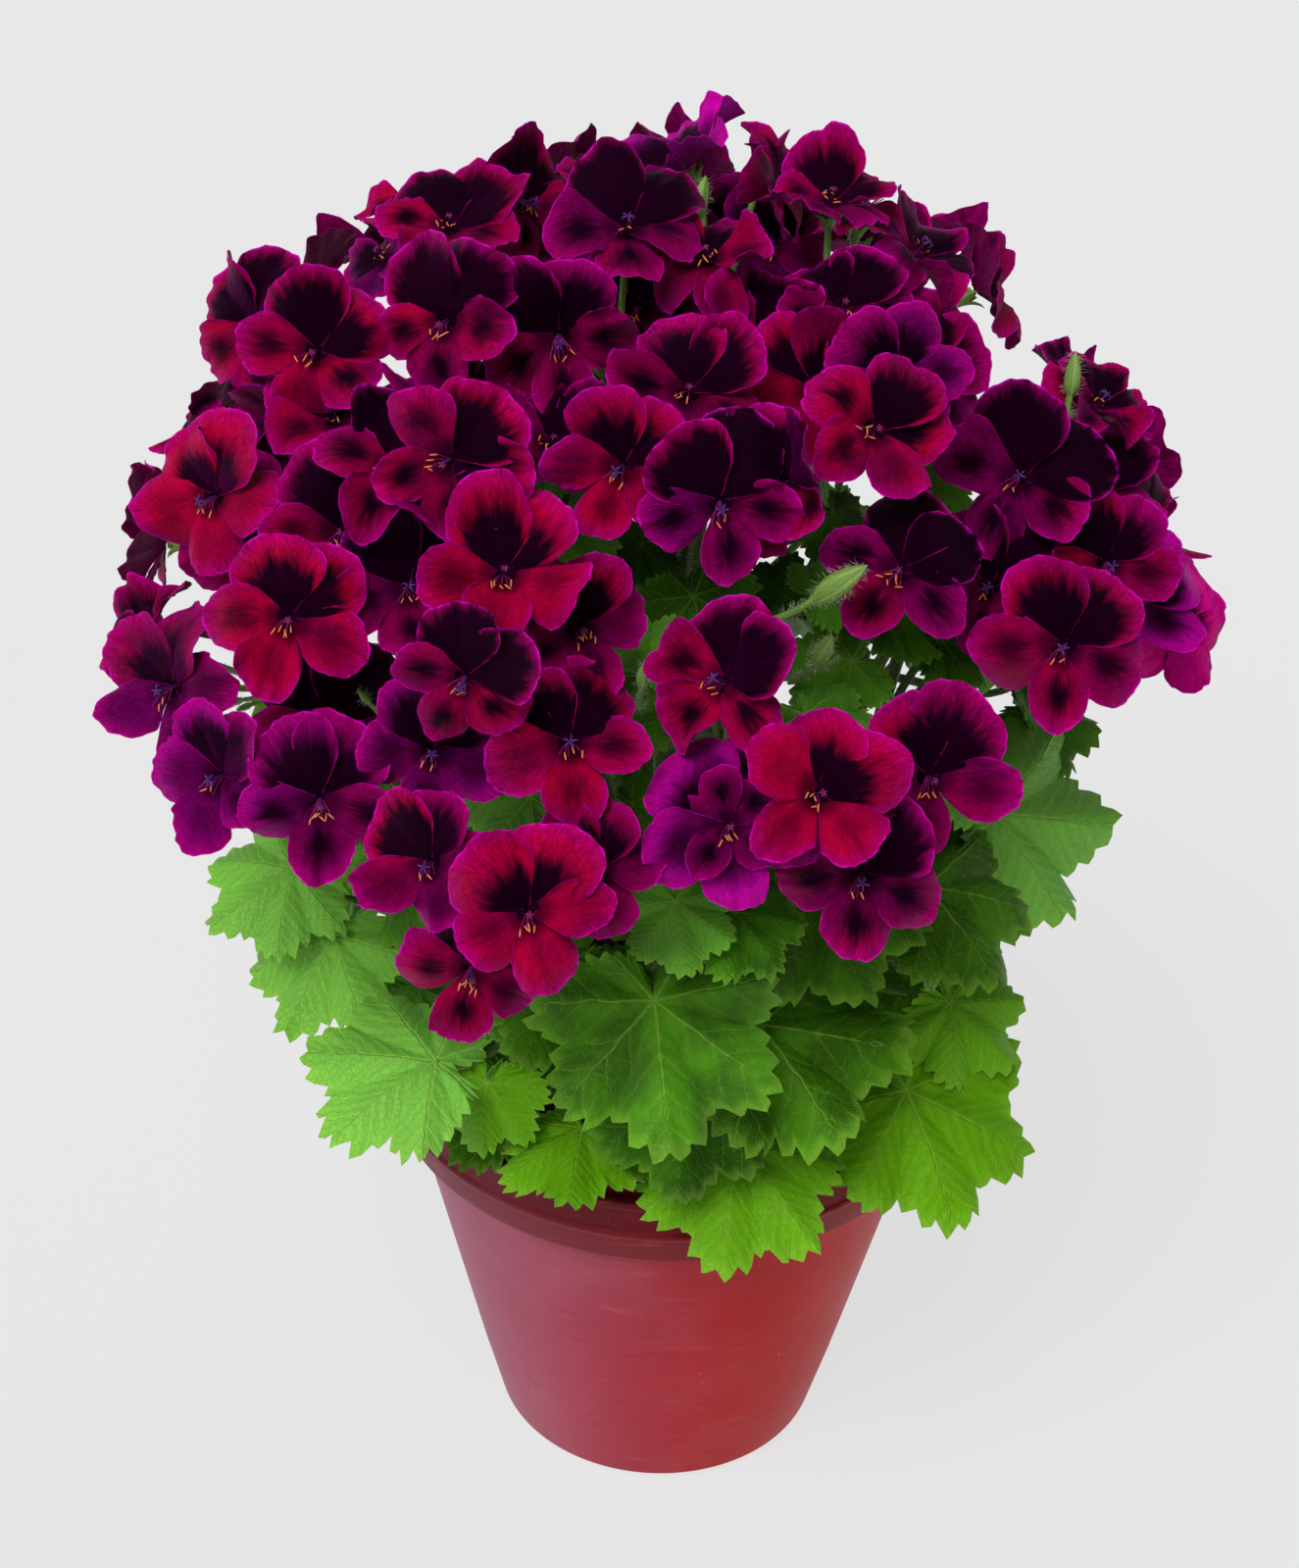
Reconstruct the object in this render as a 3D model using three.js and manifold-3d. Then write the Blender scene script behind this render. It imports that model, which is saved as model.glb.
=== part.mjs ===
// A potted geranium in full flower: plastic pot, potting soil, seven leafy shoots and their flower heads.
// Millimetres, +Z up, origin on the floor at the centre of the pot's base. The front of the plant faces -Y.
import * as THREE from 'three';
import { mergeVertices } from 'three/addons/utils/BufferGeometryUtils.js';
import Module from 'manifold-3d';

const wasm = await Module();
wasm.setup();

// ---- driving dimensions ----
const POT = { base: 56, shoulder: 87.1, shoulderZ: 132.7, band: 92.8, ridge: 95.4, ridgeZ: 145.5, rim: 95,
  rimZ: 158, lip: 90, lipZ: 161.5, wall: 2.4, floor: 3, sides: 26, drains: 5, drainRadius: 5, drainRing: 34 };
const SOIL = { edgeZ: 143, crownZ: 147, sides: 20, holeDepth: 22 };
const GAP = 0.3;                 // clearance between pieces that touch
const SETTLE_GAP = 0.36;         // clearance that a settling petal, leaf or stalk must keep
const STEM_RADIUS = 3.4;
const PEDUNCLE = { radius: 1.9, steps: 3 };
const PETIOLE = { radius: 1.3, steps: 2 };
const BUD_STALK = { radius: 1, steps: 2 };
const PEDICEL_RADIUS = 0.95;
const CALYX_RADIUS = 1.7;
const BLADE = 0.78;              // thickness of a petal or leaf, measured along its axis
const HUB_RADIUS = 3.2;
const KNOB = { top: 3.6, foot: 2.3, height: 5, depth: 34 };
const CROWN = new THREE.Vector3(-12, 0, 298);   // middle of the dome of flowers

const COLOURS = { pot: 0x9c2a22, soil: 0x2c1c14, petal: 0x8a0a2c, green: 0x3f7d22 };

// Stems: where each stands in the soil, and where it ends.
const STEMS = [
  { foot: [0, -34], top: [-10, -62, 268] },
  { foot: [31, -15], top: [56, -38, 280] },
  { foot: [28, 22], top: [58, 34, 285] },
  { foot: [0, 36], top: [0, 66, 285] },
  { foot: [-30, 20], top: [-62, 32, 285] },
  { foot: [-30, -16], top: [-66, -40, 272] },
  { foot: [0, 0], top: [-6, -8, 335] },
];

// Flower heads: the stem that carries each, and its blooms as
// [x, y, z of the throat, direction it faces (azimuth, elevation), turn about its axis, width].
const HEADS = [
  { stem: 4, blooms: [[-134, 38, 392, -125, 20, 30, 50], [-107, -42, 425, -95, 35, -20, 44],
    [-120, -19, 391, -95, -10, -150, 39]] },
  { stem: 6, blooms: [[-73, 6, 441, -85, 70, -15, 43], [-54, 31, 440, -40, 25, -25, 38],
    [-92, 18, 425, -160, 45, 115, 35], [-69, -46, 438, -110, 25, 10, 44], [-40, 33, 430, -65, 60, -25, 41]] },
  { stem: 6, blooms: [[-21, -17, 453, -90, 65, 5, 47], [-39, -54, 437, -90, 15, 15, 45],
    [-19, -31, 437, -95, 25, 15, 39]] },
  { stem: 6, blooms: [[-4, 29, 453, 175, 60, 130, 43], [22, 22, 452, -20, 30, -60, 40],
    [9, 25, 441, -95, 40, -20, 38], [25, 7, 443, -80, 30, -10, 37], [5, -14, 436, -115, 60, 40, 39]] },
  { stem: 6, blooms: [[37, 4, 447, -65, 80, -45, 37], [62, 6, 438, -10, 50, -110, 40],
    [41, -25, 435, -85, 55, 0, 42], [56, -60, 432, -95, 35, 25, 41], [65, -28, 420, -70, 45, -45, 48]] },
  { stem: 6, blooms: [[-2, -75, 435, -90, 50, -15, 43], [-21, -102, 424, -105, 25, -10, 43],
    [7, -110, 419, -90, 20, 10, 45], [19, -36, 435, -60, 55, -80, 39]] },
  { stem: 6, blooms: [[24, -100, 420, -130, 20, 5, 40], [33, -61, 428, -95, 30, 5, 45],
    [44, -76, 420, -65, 40, -70, 42]] },
  { stem: 1, blooms: [[92, -65, 404, -100, 45, -20, 47], [118, -10, 399, -30, 60, -85, 36],
    [119, -28, 381, -50, 55, -30, 43], [136, -8, 360, -20, 20, -75, 43]] },
  { stem: 1, blooms: [[104, -101, 372, -100, 35, -5, 48], [128, -59, 363, -75, 30, -30, 44],
    [143, -20, 331, -65, 25, -60, 38], [116, -44, 366, -85, 30, 0, 40]] },
  { stem: 1, blooms: [[57, -104, 396, -95, 40, -30, 44], [82, -86, 383, -110, 35, 5, 44]] },
  { stem: 5, blooms: [[-82, -89, 413, -85, 55, -35, 43], [-64, -80, 416, -95, 20, -70, 43],
    [-102, -53, 412, -110, 75, 40, 39], [-66, -51, 420, -85, 85, -5, 41], [-40, -70, 412, -65, 60, -50, 38]] },
  { stem: 5, blooms: [[-135, -60, 387, -125, 25, 20, 46], [-130, -63, 378, -95, 30, -40, 42],
    [-98, -82, 390, -85, 40, -10, 44], [-109, -113, 380, -85, 35, -15, 44]] },
  { stem: 0, blooms: [[-77, -108, 391, -85, 45, 5, 45], [-50, -126, 403, -85, 55, -5, 45],
    [-56, -125, 380, -95, 15, -25, 40], [-28, -131, 391, -75, 30, 15, 39]] },
  { stem: 5, blooms: [[-142, -87, 340, -130, 25, 40, 46], [-157, -63, 343, -165, 50, 125, 37],
    [-128, -120, 332, -120, 30, 0, 41]] },
  { stem: 5, blooms: [[-99, -140, 339, -85, 25, 0, 45], [-99, -116, 349, -85, 35, 0, 46]] },
  { stem: 0, blooms: [[-68, -143, 358, -85, 35, -15, 42], [-31, -149, 365, -90, 45, 10, 43]] },
  { stem: 0, blooms: [[-64, -155, 330, -115, 30, 30, 38], [-40, -167, 321, -90, 40, 15, 44],
    [-56, -167, 304, -85, 10, -20, 41], [-22, -166, 337, -105, 35, 25, 39]] },
  { stem: 0, blooms: [[11, -137, 378, -120, 45, -20, 43], [12, -160, 349, -90, 40, 15, 47],
    [29, -144, 342, -70, 45, -50, 43]] },
  { stem: 1, blooms: [[49, -158, 333, -95, 25, -5, 46], [67, -140, 353, -80, 35, -10, 46]] },
  ...[[2, 14, 22], [2, 46, 47], [3, 78, 18], [3, 98, 62], [4, 136, 42], [4, 156, 10]].map(backHead),
];

// Leaves: [x, y, z where the stalk meets the blade, azimuth and elevation it faces, turn, width].
const LEAVES = [
  [-6, -128, 264, -90, 40, -172, 72], [26, -100, 235, -75, 60, -108, 80], [-56, -92, 203, -100, 30, 175, 40],
  [-27, -92, 186, -95, 80, 180, 51], [22, -98, 188, -95, 65, 175, 63], [-1, -140, 308, -90, 45, -170, 33],
  [16, -130, 298, -95, 65, -140, 35], [-45, -110, 242, -90, 50, -150, 20], [-50, -80, 203, -100, 55, 62, 68],
  [-71, -92, 202, -115, 80, 105, 66], [-108, -40, 219, -120, 45, 178, 56], [-121, -30, 237, -115, 55, 145, 51],
  [-86, -70, 272, -95, 55, 175, 29], [98, -35, 270, -58, 38, -110, 76], [111, 10, 281, -65, 55, -125, 41],
  [71, -60, 251, -65, 55, -112, 62], [75, -67, 185, -65, 55, -130, 76],
  [28, -50, 354, -95, 50, -5, 24], [48, -75, 345, -100, 60, 130, 34], [-11, -95, 353, -90, 50, -30, 25],
  [72, -15, 372, -100, 50, -15, 25], [-41, -40, 370, -90, 50, 25, 20], [-14, -40, 363, -90, 55, 160, 32],
  [37, -60, 342, -95, 60, -90, 26], [-14, -110, 320, -90, 65, -95, 25], [75, -55, 344, -100, 60, -90, 29],
  [34, -100, 342, -95, 65, -140, 36], [-95, -20, 268, -130, 45, 160, 60], [90, 10, 225, -50, 50, -150, 66],
  [-34, -112, 262, -95, 55, 165, 50], [40, -85, 275, -80, 55, -160, 60], [4, -104, 214, -90, 50, 178, 58],
  [88, -45, 203, -60, 50, -150, 46],
  ...[10, 50, 90, 130, 170].map((azimuth) => backLeaf(azimuth, 104, 210, 62)),
  ...[30, 70, 110, 150].map((azimuth) => backLeaf(azimuth, 98, 268, 56)),
];

// Buds: [x, y, z of the middle, azimuth and elevation it points, length].
const BUDS = [
  [40, -122, 402, -20, 45, 20], [-144, -100, 336, 185, 15, 18], [-134, -100, 329, 200, -5, 14],
  [-25, -108, 408, -30, 20, 13], [-20, -128, 363, -20, 10, 13], [-12, -122, 371, -80, 70, 11],
  [-8, 5, 448, 140, 50, 12], [0, 10, 452, 60, 70, 14], [110, -15, 412, 80, 75, 14], [38, -98, 366, -60, 60, 16],
];

function backHead([stem, azimuth, elevation]) {
  const out = direction(azimuth, elevation);
  const { x: side, y: up } = frame(out, 0);
  const blooms = [0, 1, 2].map((j) => {
    const a = THREE.MathUtils.degToRad(90 + 120 * j);
    const lean = out.clone().addScaledVector(side, 0.17 * Math.cos(a)).addScaledVector(up, 0.17 * Math.sin(a));
    const at = lean.clone().normalize().multiply(new THREE.Vector3(162, 162, 150)).add(CROWN);
    const face = out.clone().addScaledVector(side, 0.45 * Math.cos(a)).addScaledVector(up, 0.45 * Math.sin(a));
    return [at.x, at.y, at.z, ...angles(face), 40 * j - 50, 46 + 1.5 * j];
  });
  return { stem, blooms };
}

function backLeaf(azimuth, radius, height, width) {
  const a = THREE.MathUtils.degToRad(azimuth);
  return [radius * Math.cos(a), radius * Math.sin(a), height, azimuth, 48, 180, width];
}

// ---- directions and frames ----
function direction(azimuth, elevation) {
  const a = THREE.MathUtils.degToRad(azimuth);
  const e = THREE.MathUtils.degToRad(elevation);
  return new THREE.Vector3(Math.cos(e) * Math.cos(a), Math.cos(e) * Math.sin(a), Math.sin(e));
}

function angles(v) {
  return [Math.atan2(v.y, v.x), Math.asin(v.z / v.length())].map(THREE.MathUtils.radToDeg);
}

// Axes of a petal ring or leaf blade that faces n: y is the upward direction turned about n.
function frame(n, turn) {
  const y = new THREE.Vector3(0, 0, 1).addScaledVector(n, -n.z).normalize()
    .applyAxisAngle(n, THREE.MathUtils.degToRad(turn));
  return { x: y.clone().cross(n), y, z: n.clone() };
}

function placement([x, y, z, azimuth, elevation, turn]) {
  const axes = frame(direction(azimuth, elevation), turn);
  const matrix = new THREE.Matrix4().makeBasis(axes.x, axes.y, axes.z).setPosition(x, y, z);
  return { matrix, axis: axes.z };
}

// ---- solids ----
function solidOf(geometry) {
  const g = geometry.index ? geometry.clone() : geometry;
  g.deleteAttribute('normal');
  g.deleteAttribute('uv');
  const merged = mergeVertices(g, 1e-4);
  return new wasm.Manifold(new wasm.Mesh({
    numProp: 3,
    vertProperties: new Float32Array(merged.attributes.position.array),
    triVerts: new Uint32Array(merged.index.array),
  }));
}

function meshOf(name, solid, colour, roughness) {
  const { vertProperties, triVerts } = solid.getMesh();
  const geometry = new THREE.BufferGeometry();
  geometry.setAttribute('position', new THREE.BufferAttribute(vertProperties, 3));
  geometry.setIndex(new THREE.BufferAttribute(triVerts, 1));
  const material = new THREE.MeshStandardMaterial({ color: colour, roughness, metalness: 0 });
  const mesh = new THREE.Mesh(geometry, material);
  mesh.name = name;
  return mesh;
}

function lathe(profile, sides) {
  return solidOf(new THREE.LatheGeometry(profile.map(([r, z]) => new THREE.Vector2(r, z)), sides)
    .rotateX(Math.PI / 2));
}

function polygon(radius, sides) {
  const points = Array.from({ length: sides }, (_, i) => {
    const a = (2 * Math.PI * i) / sides;
    return new THREE.Vector2(radius * Math.cos(a), radius * Math.sin(a));
  });
  return new THREE.Shape(points);
}

function tube(curve, radius, sides, steps) {
  return solidOf(new THREE.ExtrudeGeometry(polygon(radius, sides), { extrudePath: curve, steps }));
}

function facesSolid(points, faces) {
  const geometry = new THREE.BufferGeometry().setFromPoints(points);
  geometry.setIndex(faces.flat());
  return solidOf(geometry);
}

// Walls between the upper and lower copies of an outline that runs counter-clockwise.
function rimFaces(outline, lower) {
  return outline.slice(1).flatMap((b, i) => {
    const a = outline[i];
    return [[a, a + lower, b + lower], [a, b + lower, b]];
  });
}

// ---- blooms ----
const UPPER_PETAL = [[-0.5, 0.77], [0, 1.12], [0.5, 0.77]];
const LOWER_PETAL = [[-0.4, 0.74], [0, 1.05], [0.4, 0.74]];
const HUB_CORNERS = [0, 1, 2, 3, 4];

// Height of the flower's funnel above its throat; one edge of each petal lies over the next petal.
function petalHeight(across, along, cup) {
  return cup * along * (1.35 - 0.55 * along) - 0.16 * across;
}

function petalPoints(k, half, cup) {
  const outline = k === 0 || k === 4 ? UPPER_PETAL : LOWER_PETAL;
  const middle = THREE.MathUtils.degToRad(72 * k + 36);
  return outline.map(([across, along]) => {
    const lift = petalHeight(across, along, cup);
    return new THREE.Vector3(-along, -across, lift).applyAxisAngle(new THREE.Vector3(0, 0, 1), middle - Math.PI / 2)
      .multiplyScalar(half);
  });
}

function corolla(half, cup) {
  const points = [new THREE.Vector3(0, 0, 0)];
  HUB_CORNERS.forEach((k) => {
    const a = THREE.MathUtils.degToRad(72 * k);
    points.push(new THREE.Vector3(-Math.sin(a) * HUB_RADIUS, Math.cos(a) * HUB_RADIUS, 0.5));
  });
  const faces = HUB_CORNERS.map((k) => [0, 1 + k, 1 + ((k + 1) % 5)]);
  const outlines = HUB_CORNERS.map((k) => {
    const first = points.length;
    const petal = petalPoints(k, half, cup);
    points.push(...petal);
    return [1 + k, ...petal.map((_, i) => first + i), 1 + ((k + 1) % 5)];
  });
  return { points, hub: faces, outlines };
}

function petalFaces(outline) {
  const n = outline.length;
  const middle = Math.floor((n - 1) / 2);
  const faces = [];
  for (let i = 1; i < middle; i += 1) faces.push([outline[0], outline[i], outline[i + 1]]);
  faces.push([outline[0], outline[middle], outline[n - 1]]);
  for (let i = middle; i < n - 2; i += 1) faces.push([outline[n - 1], outline[i], outline[i + 1]]);
  return faces;
}

// Rings of the calyx and stalk behind a bloom: each ring is turned from the last by the bend between them.
function stalkRings(path) {
  const axis = new THREE.Vector3(0, 0, -1);
  const turn = new THREE.Quaternion();
  return path.map(({ at, radius, sides }, i) => {
    const before = at.clone().sub(i ? path[i - 1].at : new THREE.Vector3()).normalize();
    const after = i < path.length - 1 ? path[i + 1].at.clone().sub(at).normalize() : before;
    const heading = before.clone().add(after).normalize();
    turn.premultiply(new THREE.Quaternion().setFromUnitVectors(axis, heading));
    axis.copy(heading);
    return Array.from({ length: sides }, (_, k) => {
      const a = (2 * Math.PI * k) / sides;
      return new THREE.Vector3(-Math.sin(a), Math.cos(a), 0).applyQuaternion(turn).multiplyScalar(radius).add(at);
    });
  });
}

// Walls between two rings of point numbers, which may differ in count; both start at the same side.
function bandFaces(upper, lower) {
  const faces = [];
  let [i, j] = [0, 0];
  while (i < upper.length || j < lower.length) {
    const [u, l] = [upper[i % upper.length], lower[j % lower.length]];
    if ((i + 1) * lower.length <= (j + 1) * upper.length) {
      i += 1;
      faces.push([u, l, upper[i % upper.length]]);
    } else {
      j += 1;
      faces.push([u, l, lower[j % lower.length]]);
    }
  }
  return faces;
}

// One bloom as a closed body, in its own frame; `path` runs from the calyx back to the knob.
function bloomSolid(half, cup, path) {
  const { points, hub, outlines } = corolla(half, cup);
  const lower = points.length - 1;
  const faces = [...hub];
  outlines.forEach((outline) => {
    const top = petalFaces(outline);
    faces.push(...top, ...top.map(([a, b, c]) => [a + lower, c + lower, b + lower]), ...rimFaces(outline, lower));
  });
  points.push(...points.slice(1).map((p) => new THREE.Vector3(p.x, p.y, p.z - BLADE)));
  let ring = HUB_CORNERS.map((k) => lower + 1 + k);
  stalkRings(path).forEach((next) => {
    const below = next.map((_, k) => points.length + k);
    points.push(...next);
    faces.push(...bandFaces(ring, below));
    ring = below;
  });
  for (let k = 1; k < ring.length - 1; k += 1) faces.push([ring[0], ring[k + 1], ring[k]]);
  return facesSolid(points, faces);
}

function cupOf(index) {
  return 0.34 + 0.1 * Math.sin(2.4 * index);
}

// ---- leaves ----
// Half outline of a leaf blade: [angle from the tip, radius]; the other half mirrors it.
const LEAF_TIP = 1.2;
const LEAF_SINUS = 0.1;
const LEAF_HALF = [[14, 1.1], [24, 0.92], [35, 1.1], [48, 1.14], [60, 1], [71, 0.82], [83, 0.98], [104, 0.84],
  [146, 0.46]];
const SPRIG_HALF = [[24, 0.9], [48, 1.12], [71, 0.8], [94, 0.94], [140, 0.48]];
const LEAF_RING = [[-106, 0.44], [-52, 0.52], [0, 0.56], [52, 0.52], [106, 0.44]];
const SPRIG_RING = [[0, 0.5]];
const BUD_PROFILE = [[0, 0], [0.2, 0.25], [0.16, 0.7], [0, 1]];
const SPRIG_WIDTH = 38;          // narrower leaves get the plainer outline
const LOBE_ANGLE = 48;           // degrees from one lobe to the next

// Height of a blade over its plane: it droops outward and is pleated along its five lobes.
function bladeHeight(x, y) {
  const r = Math.hypot(x, y);
  const a = Math.atan2(x, y);
  return -0.2 * r * r + 0.06 * r * Math.cos((2 * Math.PI * a) / THREE.MathUtils.degToRad(LOBE_ANGLE)) * (r > 0.2 ? 1 : 0);
}

function bladePoint([angle, r], scale) {
  const a = THREE.MathUtils.degToRad(angle);
  const [x, y] = [r * Math.sin(a), r * Math.cos(a)];
  return new THREE.Vector3(x, y, bladeHeight(x, y)).multiplyScalar(scale);
}

function leafSolid(width) {
  const small = width < SPRIG_WIDTH;
  const half = small ? SPRIG_HALF : LEAF_HALF;
  const ring = small ? SPRIG_RING : LEAF_RING;
  const scale = width / 1.9;
  const outline = [[-180, LEAF_SINUS], ...half.map(([a, r]) => [-a, r]).reverse(), [0, LEAF_TIP], ...half];
  const points = [[0, 0], ...outline, ...ring].map((p) => bladePoint(p, scale));
  const top = leafFaces(outline, ring);
  const lower = points.length;
  const edge = [...outline.map((_, i) => 1 + i).reverse(), outline.length];
  const faces = [...top, ...top.map(([a, b, c]) => [a + lower, c + lower, b + lower]), ...rimFaces(edge, lower)];
  return facesSolid([...points, ...points.map((p) => new THREE.Vector3(p.x, p.y, p.z - BLADE))], faces);
}

// Triangles of the upper face: an outer band between the toothed edge and an inner ring, and a fan inside it.
// Angles grow clockwise seen from above, so each triangle is listed against them.
function leafFaces(outline, ring) {
  const sinus = 1;
  const edge = (i) => (i >= outline.length ? sinus : 1 + i);
  const inner = (j) => (j < 0 || j >= ring.length ? sinus : 1 + outline.length + j);
  const angleOf = (list, i) => (i >= list.length ? 180 : list[i][0]);
  const faces = [[sinus, inner(0), edge(1)]];
  let [i, j] = [1, 0];
  while (i < outline.length - 1 || j < ring.length - 1) {
    const stepEdge = j >= ring.length - 1
      || (i < outline.length - 1 && angleOf(outline, i + 1) <= (angleOf(ring, j) + angleOf(ring, j + 1)) / 2);
    if (stepEdge) { faces.push([edge(i), inner(j), edge(i + 1)]); i += 1; }
    else { faces.push([edge(i), inner(j), inner(j + 1)]); j += 1; }
  }
  faces.push([edge(i), inner(j), sinus]);
  for (let k = -1; k < ring.length; k += 1) faces.push([0, inner(k + 1), inner(k)]);
  return faces;
}

// ---- settling: nothing touches what is already in its place ----
const placed = [];

function boxesTouch(a, b) {
  return [0, 1, 2].every((i) => a.min[i] - 1 < b.max[i] && b.min[i] - 1 < a.max[i]);
}

function isClear(solid, ignore) {
  const box = solid.boundingBox();
  return placed.every((other) => ignore(other) || !boxesTouch(box, other.box)
    || solid.minGap(other.solid, SETTLE_GAP + 0.1) > SETTLE_GAP);
}

function keep(solid, owner, kind) {
  placed.push({ solid, owner, kind, box: solid.boundingBox() });
  return solid;
}

function slides(step, most) {
  const list = [0];
  for (let s = step; s <= most; s += step) list.push(-s, s);
  return list;
}

// ---- stems and stalks ----
function bezier(start, out, back, end, bulge) {
  const reach = start.distanceTo(end);
  const a = start.clone().addScaledVector(out, 0.38 * reach).add(bulge);
  const b = end.clone().addScaledVector(back, 0.34 * reach).add(bulge);
  return new THREE.CubicBezierCurve3(start, a, b, end);
}

function stemCurve({ foot, top }) {
  const start = new THREE.Vector3(foot[0], foot[1], SOIL.crownZ + 3);
  const end = new THREE.Vector3(...top);
  const [azimuth, elevation] = angles(end.clone().sub(start));
  const upper = end.clone().addScaledVector(direction(azimuth, elevation + 8), -40);
  return new THREE.CubicBezierCurve3(start, start.clone().setZ(start.z + 45), upper, end);
}

function stemSolid(stem, curve) {
  const root = new THREE.CylinderGeometry(STEM_RADIUS + 0.5, STEM_RADIUS + 0.9, SOIL.holeDepth + 8, 6)
    .rotateX(Math.PI / 2).translate(stem.foot[0], stem.foot[1], soilHoleFloor() + GAP + (SOIL.holeDepth + 8) / 2);
  return solidOf(root).add(tube(curve, STEM_RADIUS, 6, 3));
}

function soilHoleFloor() {
  return SOIL.crownZ - SOIL.holeDepth;
}

// A stalk from the stem to `end`, arriving along -`arrive`; it is bowed aside until it runs clear.
function stalk(shoot, end, arrive, { radius, steps }, ignore, low) {
  const start = shoot.curve.getPoint(low);
  const away = end.clone().sub(start).normalize().add(new THREE.Vector3(0, 0, 0.5)).normalize();
  const back = arrive.clone().negate();
  const { x, y } = frame(end.clone().sub(start).normalize(), 0);
  for (const bow of [0, 7, 14, 21, 28, 36]) {
    for (let turn = 0; turn < (bow ? 8 : 1); turn += 1) {
      const a = (Math.PI / 4) * turn;
      const bulge = x.clone().multiplyScalar(bow * Math.cos(a)).addScaledVector(y, bow * Math.sin(a));
      const solid = tube(bezier(start, away, back, end, bulge), radius, 3, steps);
      if (isClear(solid, ignore)) return solid;
    }
  }
  return null;
}

function buildShoots() {
  return STEMS.map((stem, index) => {
    const curve = stemCurve(stem);
    return { index, curve, parts: [keep(stemSolid(stem, curve), `shoot_${index}`, 'stem')] };
  });
}

// ---- flower heads ----
function headKnob(blooms) {
  const middle = new THREE.Vector3();
  blooms.forEach(([x, y, z]) => middle.add(new THREE.Vector3(x, y, z)));
  middle.divideScalar(blooms.length);
  const out = middle.clone().sub(CROWN).normalize();
  const at = middle.clone().addScaledVector(out, -KNOB.depth);
  const axis = out.add(new THREE.Vector3(0, 0, 0.45)).normalize();
  const solid = solidOf(new THREE.CylinderGeometry(KNOB.top, KNOB.foot, KNOB.height, 4)
    .applyQuaternion(new THREE.Quaternion().setFromUnitVectors(new THREE.Vector3(0, 1, 0), axis))
    .translate(at.x, at.y, at.z));
  return { at, axis, solid };
}

function buildKnobs(shoots) {
  return HEADS.map(({ stem, blooms }, h) => {
    const knob = headKnob(blooms);
    const shoot = shoots[stem];
    keep(knob.solid, `head_${h}`, 'knob');
    const end = knob.at.clone().addScaledVector(knob.axis, -KNOB.height / 2 - GAP);
    const low = 0.62 + 0.36 * ((h * 0.37) % 1);
    const solid = stalk(shoot, end, knob.axis, PEDUNCLE,
      (o) => o.owner === `shoot_${stem}` || o.owner === `head_${h}`, low);
    shoot.parts.push(keep(solid, `shoot_${stem}`, 'stalk'));
    return { ...knob, parts: [knob.solid] };
  });
}

function tryBloom(bloom, index, h, knob) {
  const { matrix, axis } = placement(bloom);
  const half = bloom[6] / 2;
  const cup = cupOf(index);
  for (const slide of slides(2.5, 45)) {
    const at = matrix.clone().setPosition(new THREE.Vector3(bloom[0], bloom[1], bloom[2]).addScaledVector(axis, slide));
    const local = knob.at.clone().applyMatrix4(at.clone().invert());
    const calyx = { at: new THREE.Vector3(0, 0, -7), radius: CALYX_RADIUS, sides: 3 };
    const head = bloomSolid(half, cup, [calyx]).transform(at.elements);
    if (!isClear(head, (o) => o.kind === 'knob' && o.owner === `head_${h}`)) continue;
    for (const reach of [7, 14, 21, 28]) {
      const neck = { at: new THREE.Vector3(0, 0, -reach), radius: PEDICEL_RADIUS, sides: 3 };
      const inward = local.clone().sub(neck.at).normalize();
      const end = { at: local.clone().addScaledVector(inward, -0.8), radius: PEDICEL_RADIUS, sides: 3 };
      const path = reach > 7 ? [calyx, neck, end] : [calyx, end];
      const whole = bloomSolid(half, cup, path).transform(at.elements);
      if (isClear(whole, (o) => o.owner === `head_${h}`)) return { head, whole };
    }
  }
  return null;
}

function buildBlooms(knobs) {
  const all = HEADS.flatMap(({ blooms }, h) => blooms.map((bloom) => ({ bloom, h })))
    .map((entry, index) => ({ ...entry, index, out: outerness(entry.bloom) }))
    .sort((a, b) => b.out - a.out);
  all.forEach(({ bloom, index, h }) => {
    const found = tryBloom(bloom, index, h, knobs[h]);
    keep(found.head, `head_${h}`, 'bloom');
    knobs[h].parts.push(keep(found.whole, `head_${h}`, 'pedicel'));
  });
}

// How far out a bloom stands on the dome; the outermost take their places first.
function outerness([x, y, z]) {
  return Math.hypot(x - CROWN.x, y - CROWN.y, 1.07 * (z - CROWN.z));
}

// ---- leaves on the shoots ----
function tryLeaf(leaf, n, shoots) {
  for (const twist of [0, 30, -30, 60, -60]) {
    const found = tryTurn([...leaf.slice(0, 5), leaf[5] + twist, leaf[6]], n, shoots);
    if (found) return found;
  }
  return null;
}

function tryTurn(leaf, n, shoots) {
  const { matrix, axis } = placement(leaf);
  const base = new THREE.Vector3(leaf[0], leaf[1], leaf[2]);
  const low = THREE.MathUtils.clamp((base.z - 225) / 150, 0.1, 0.75) + 0.05 * (n % 4);
  for (const slide of slides(2, 36)) {
    const at = base.clone().addScaledVector(axis, slide);
    const blade = leafSolid(leaf[6]).transform(matrix.clone().setPosition(at).elements);
    if (!isClear(blade, () => false)) continue;
    const end = at.clone().addScaledVector(axis, -0.45);
    for (const shoot of byNearness(shoots, base).slice(0, 3)) {
      const own = (o) => o.owner === `shoot_${shoot.index}` && o.kind !== 'blade';
      for (const rise of [0, 0.12, -0.08]) {
        const petiole = stalk(shoot, end, axis, PETIOLE, own, low + rise);
        if (petiole) return { shoot, blade, petiole };
      }
    }
  }
  return null;
}

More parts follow.
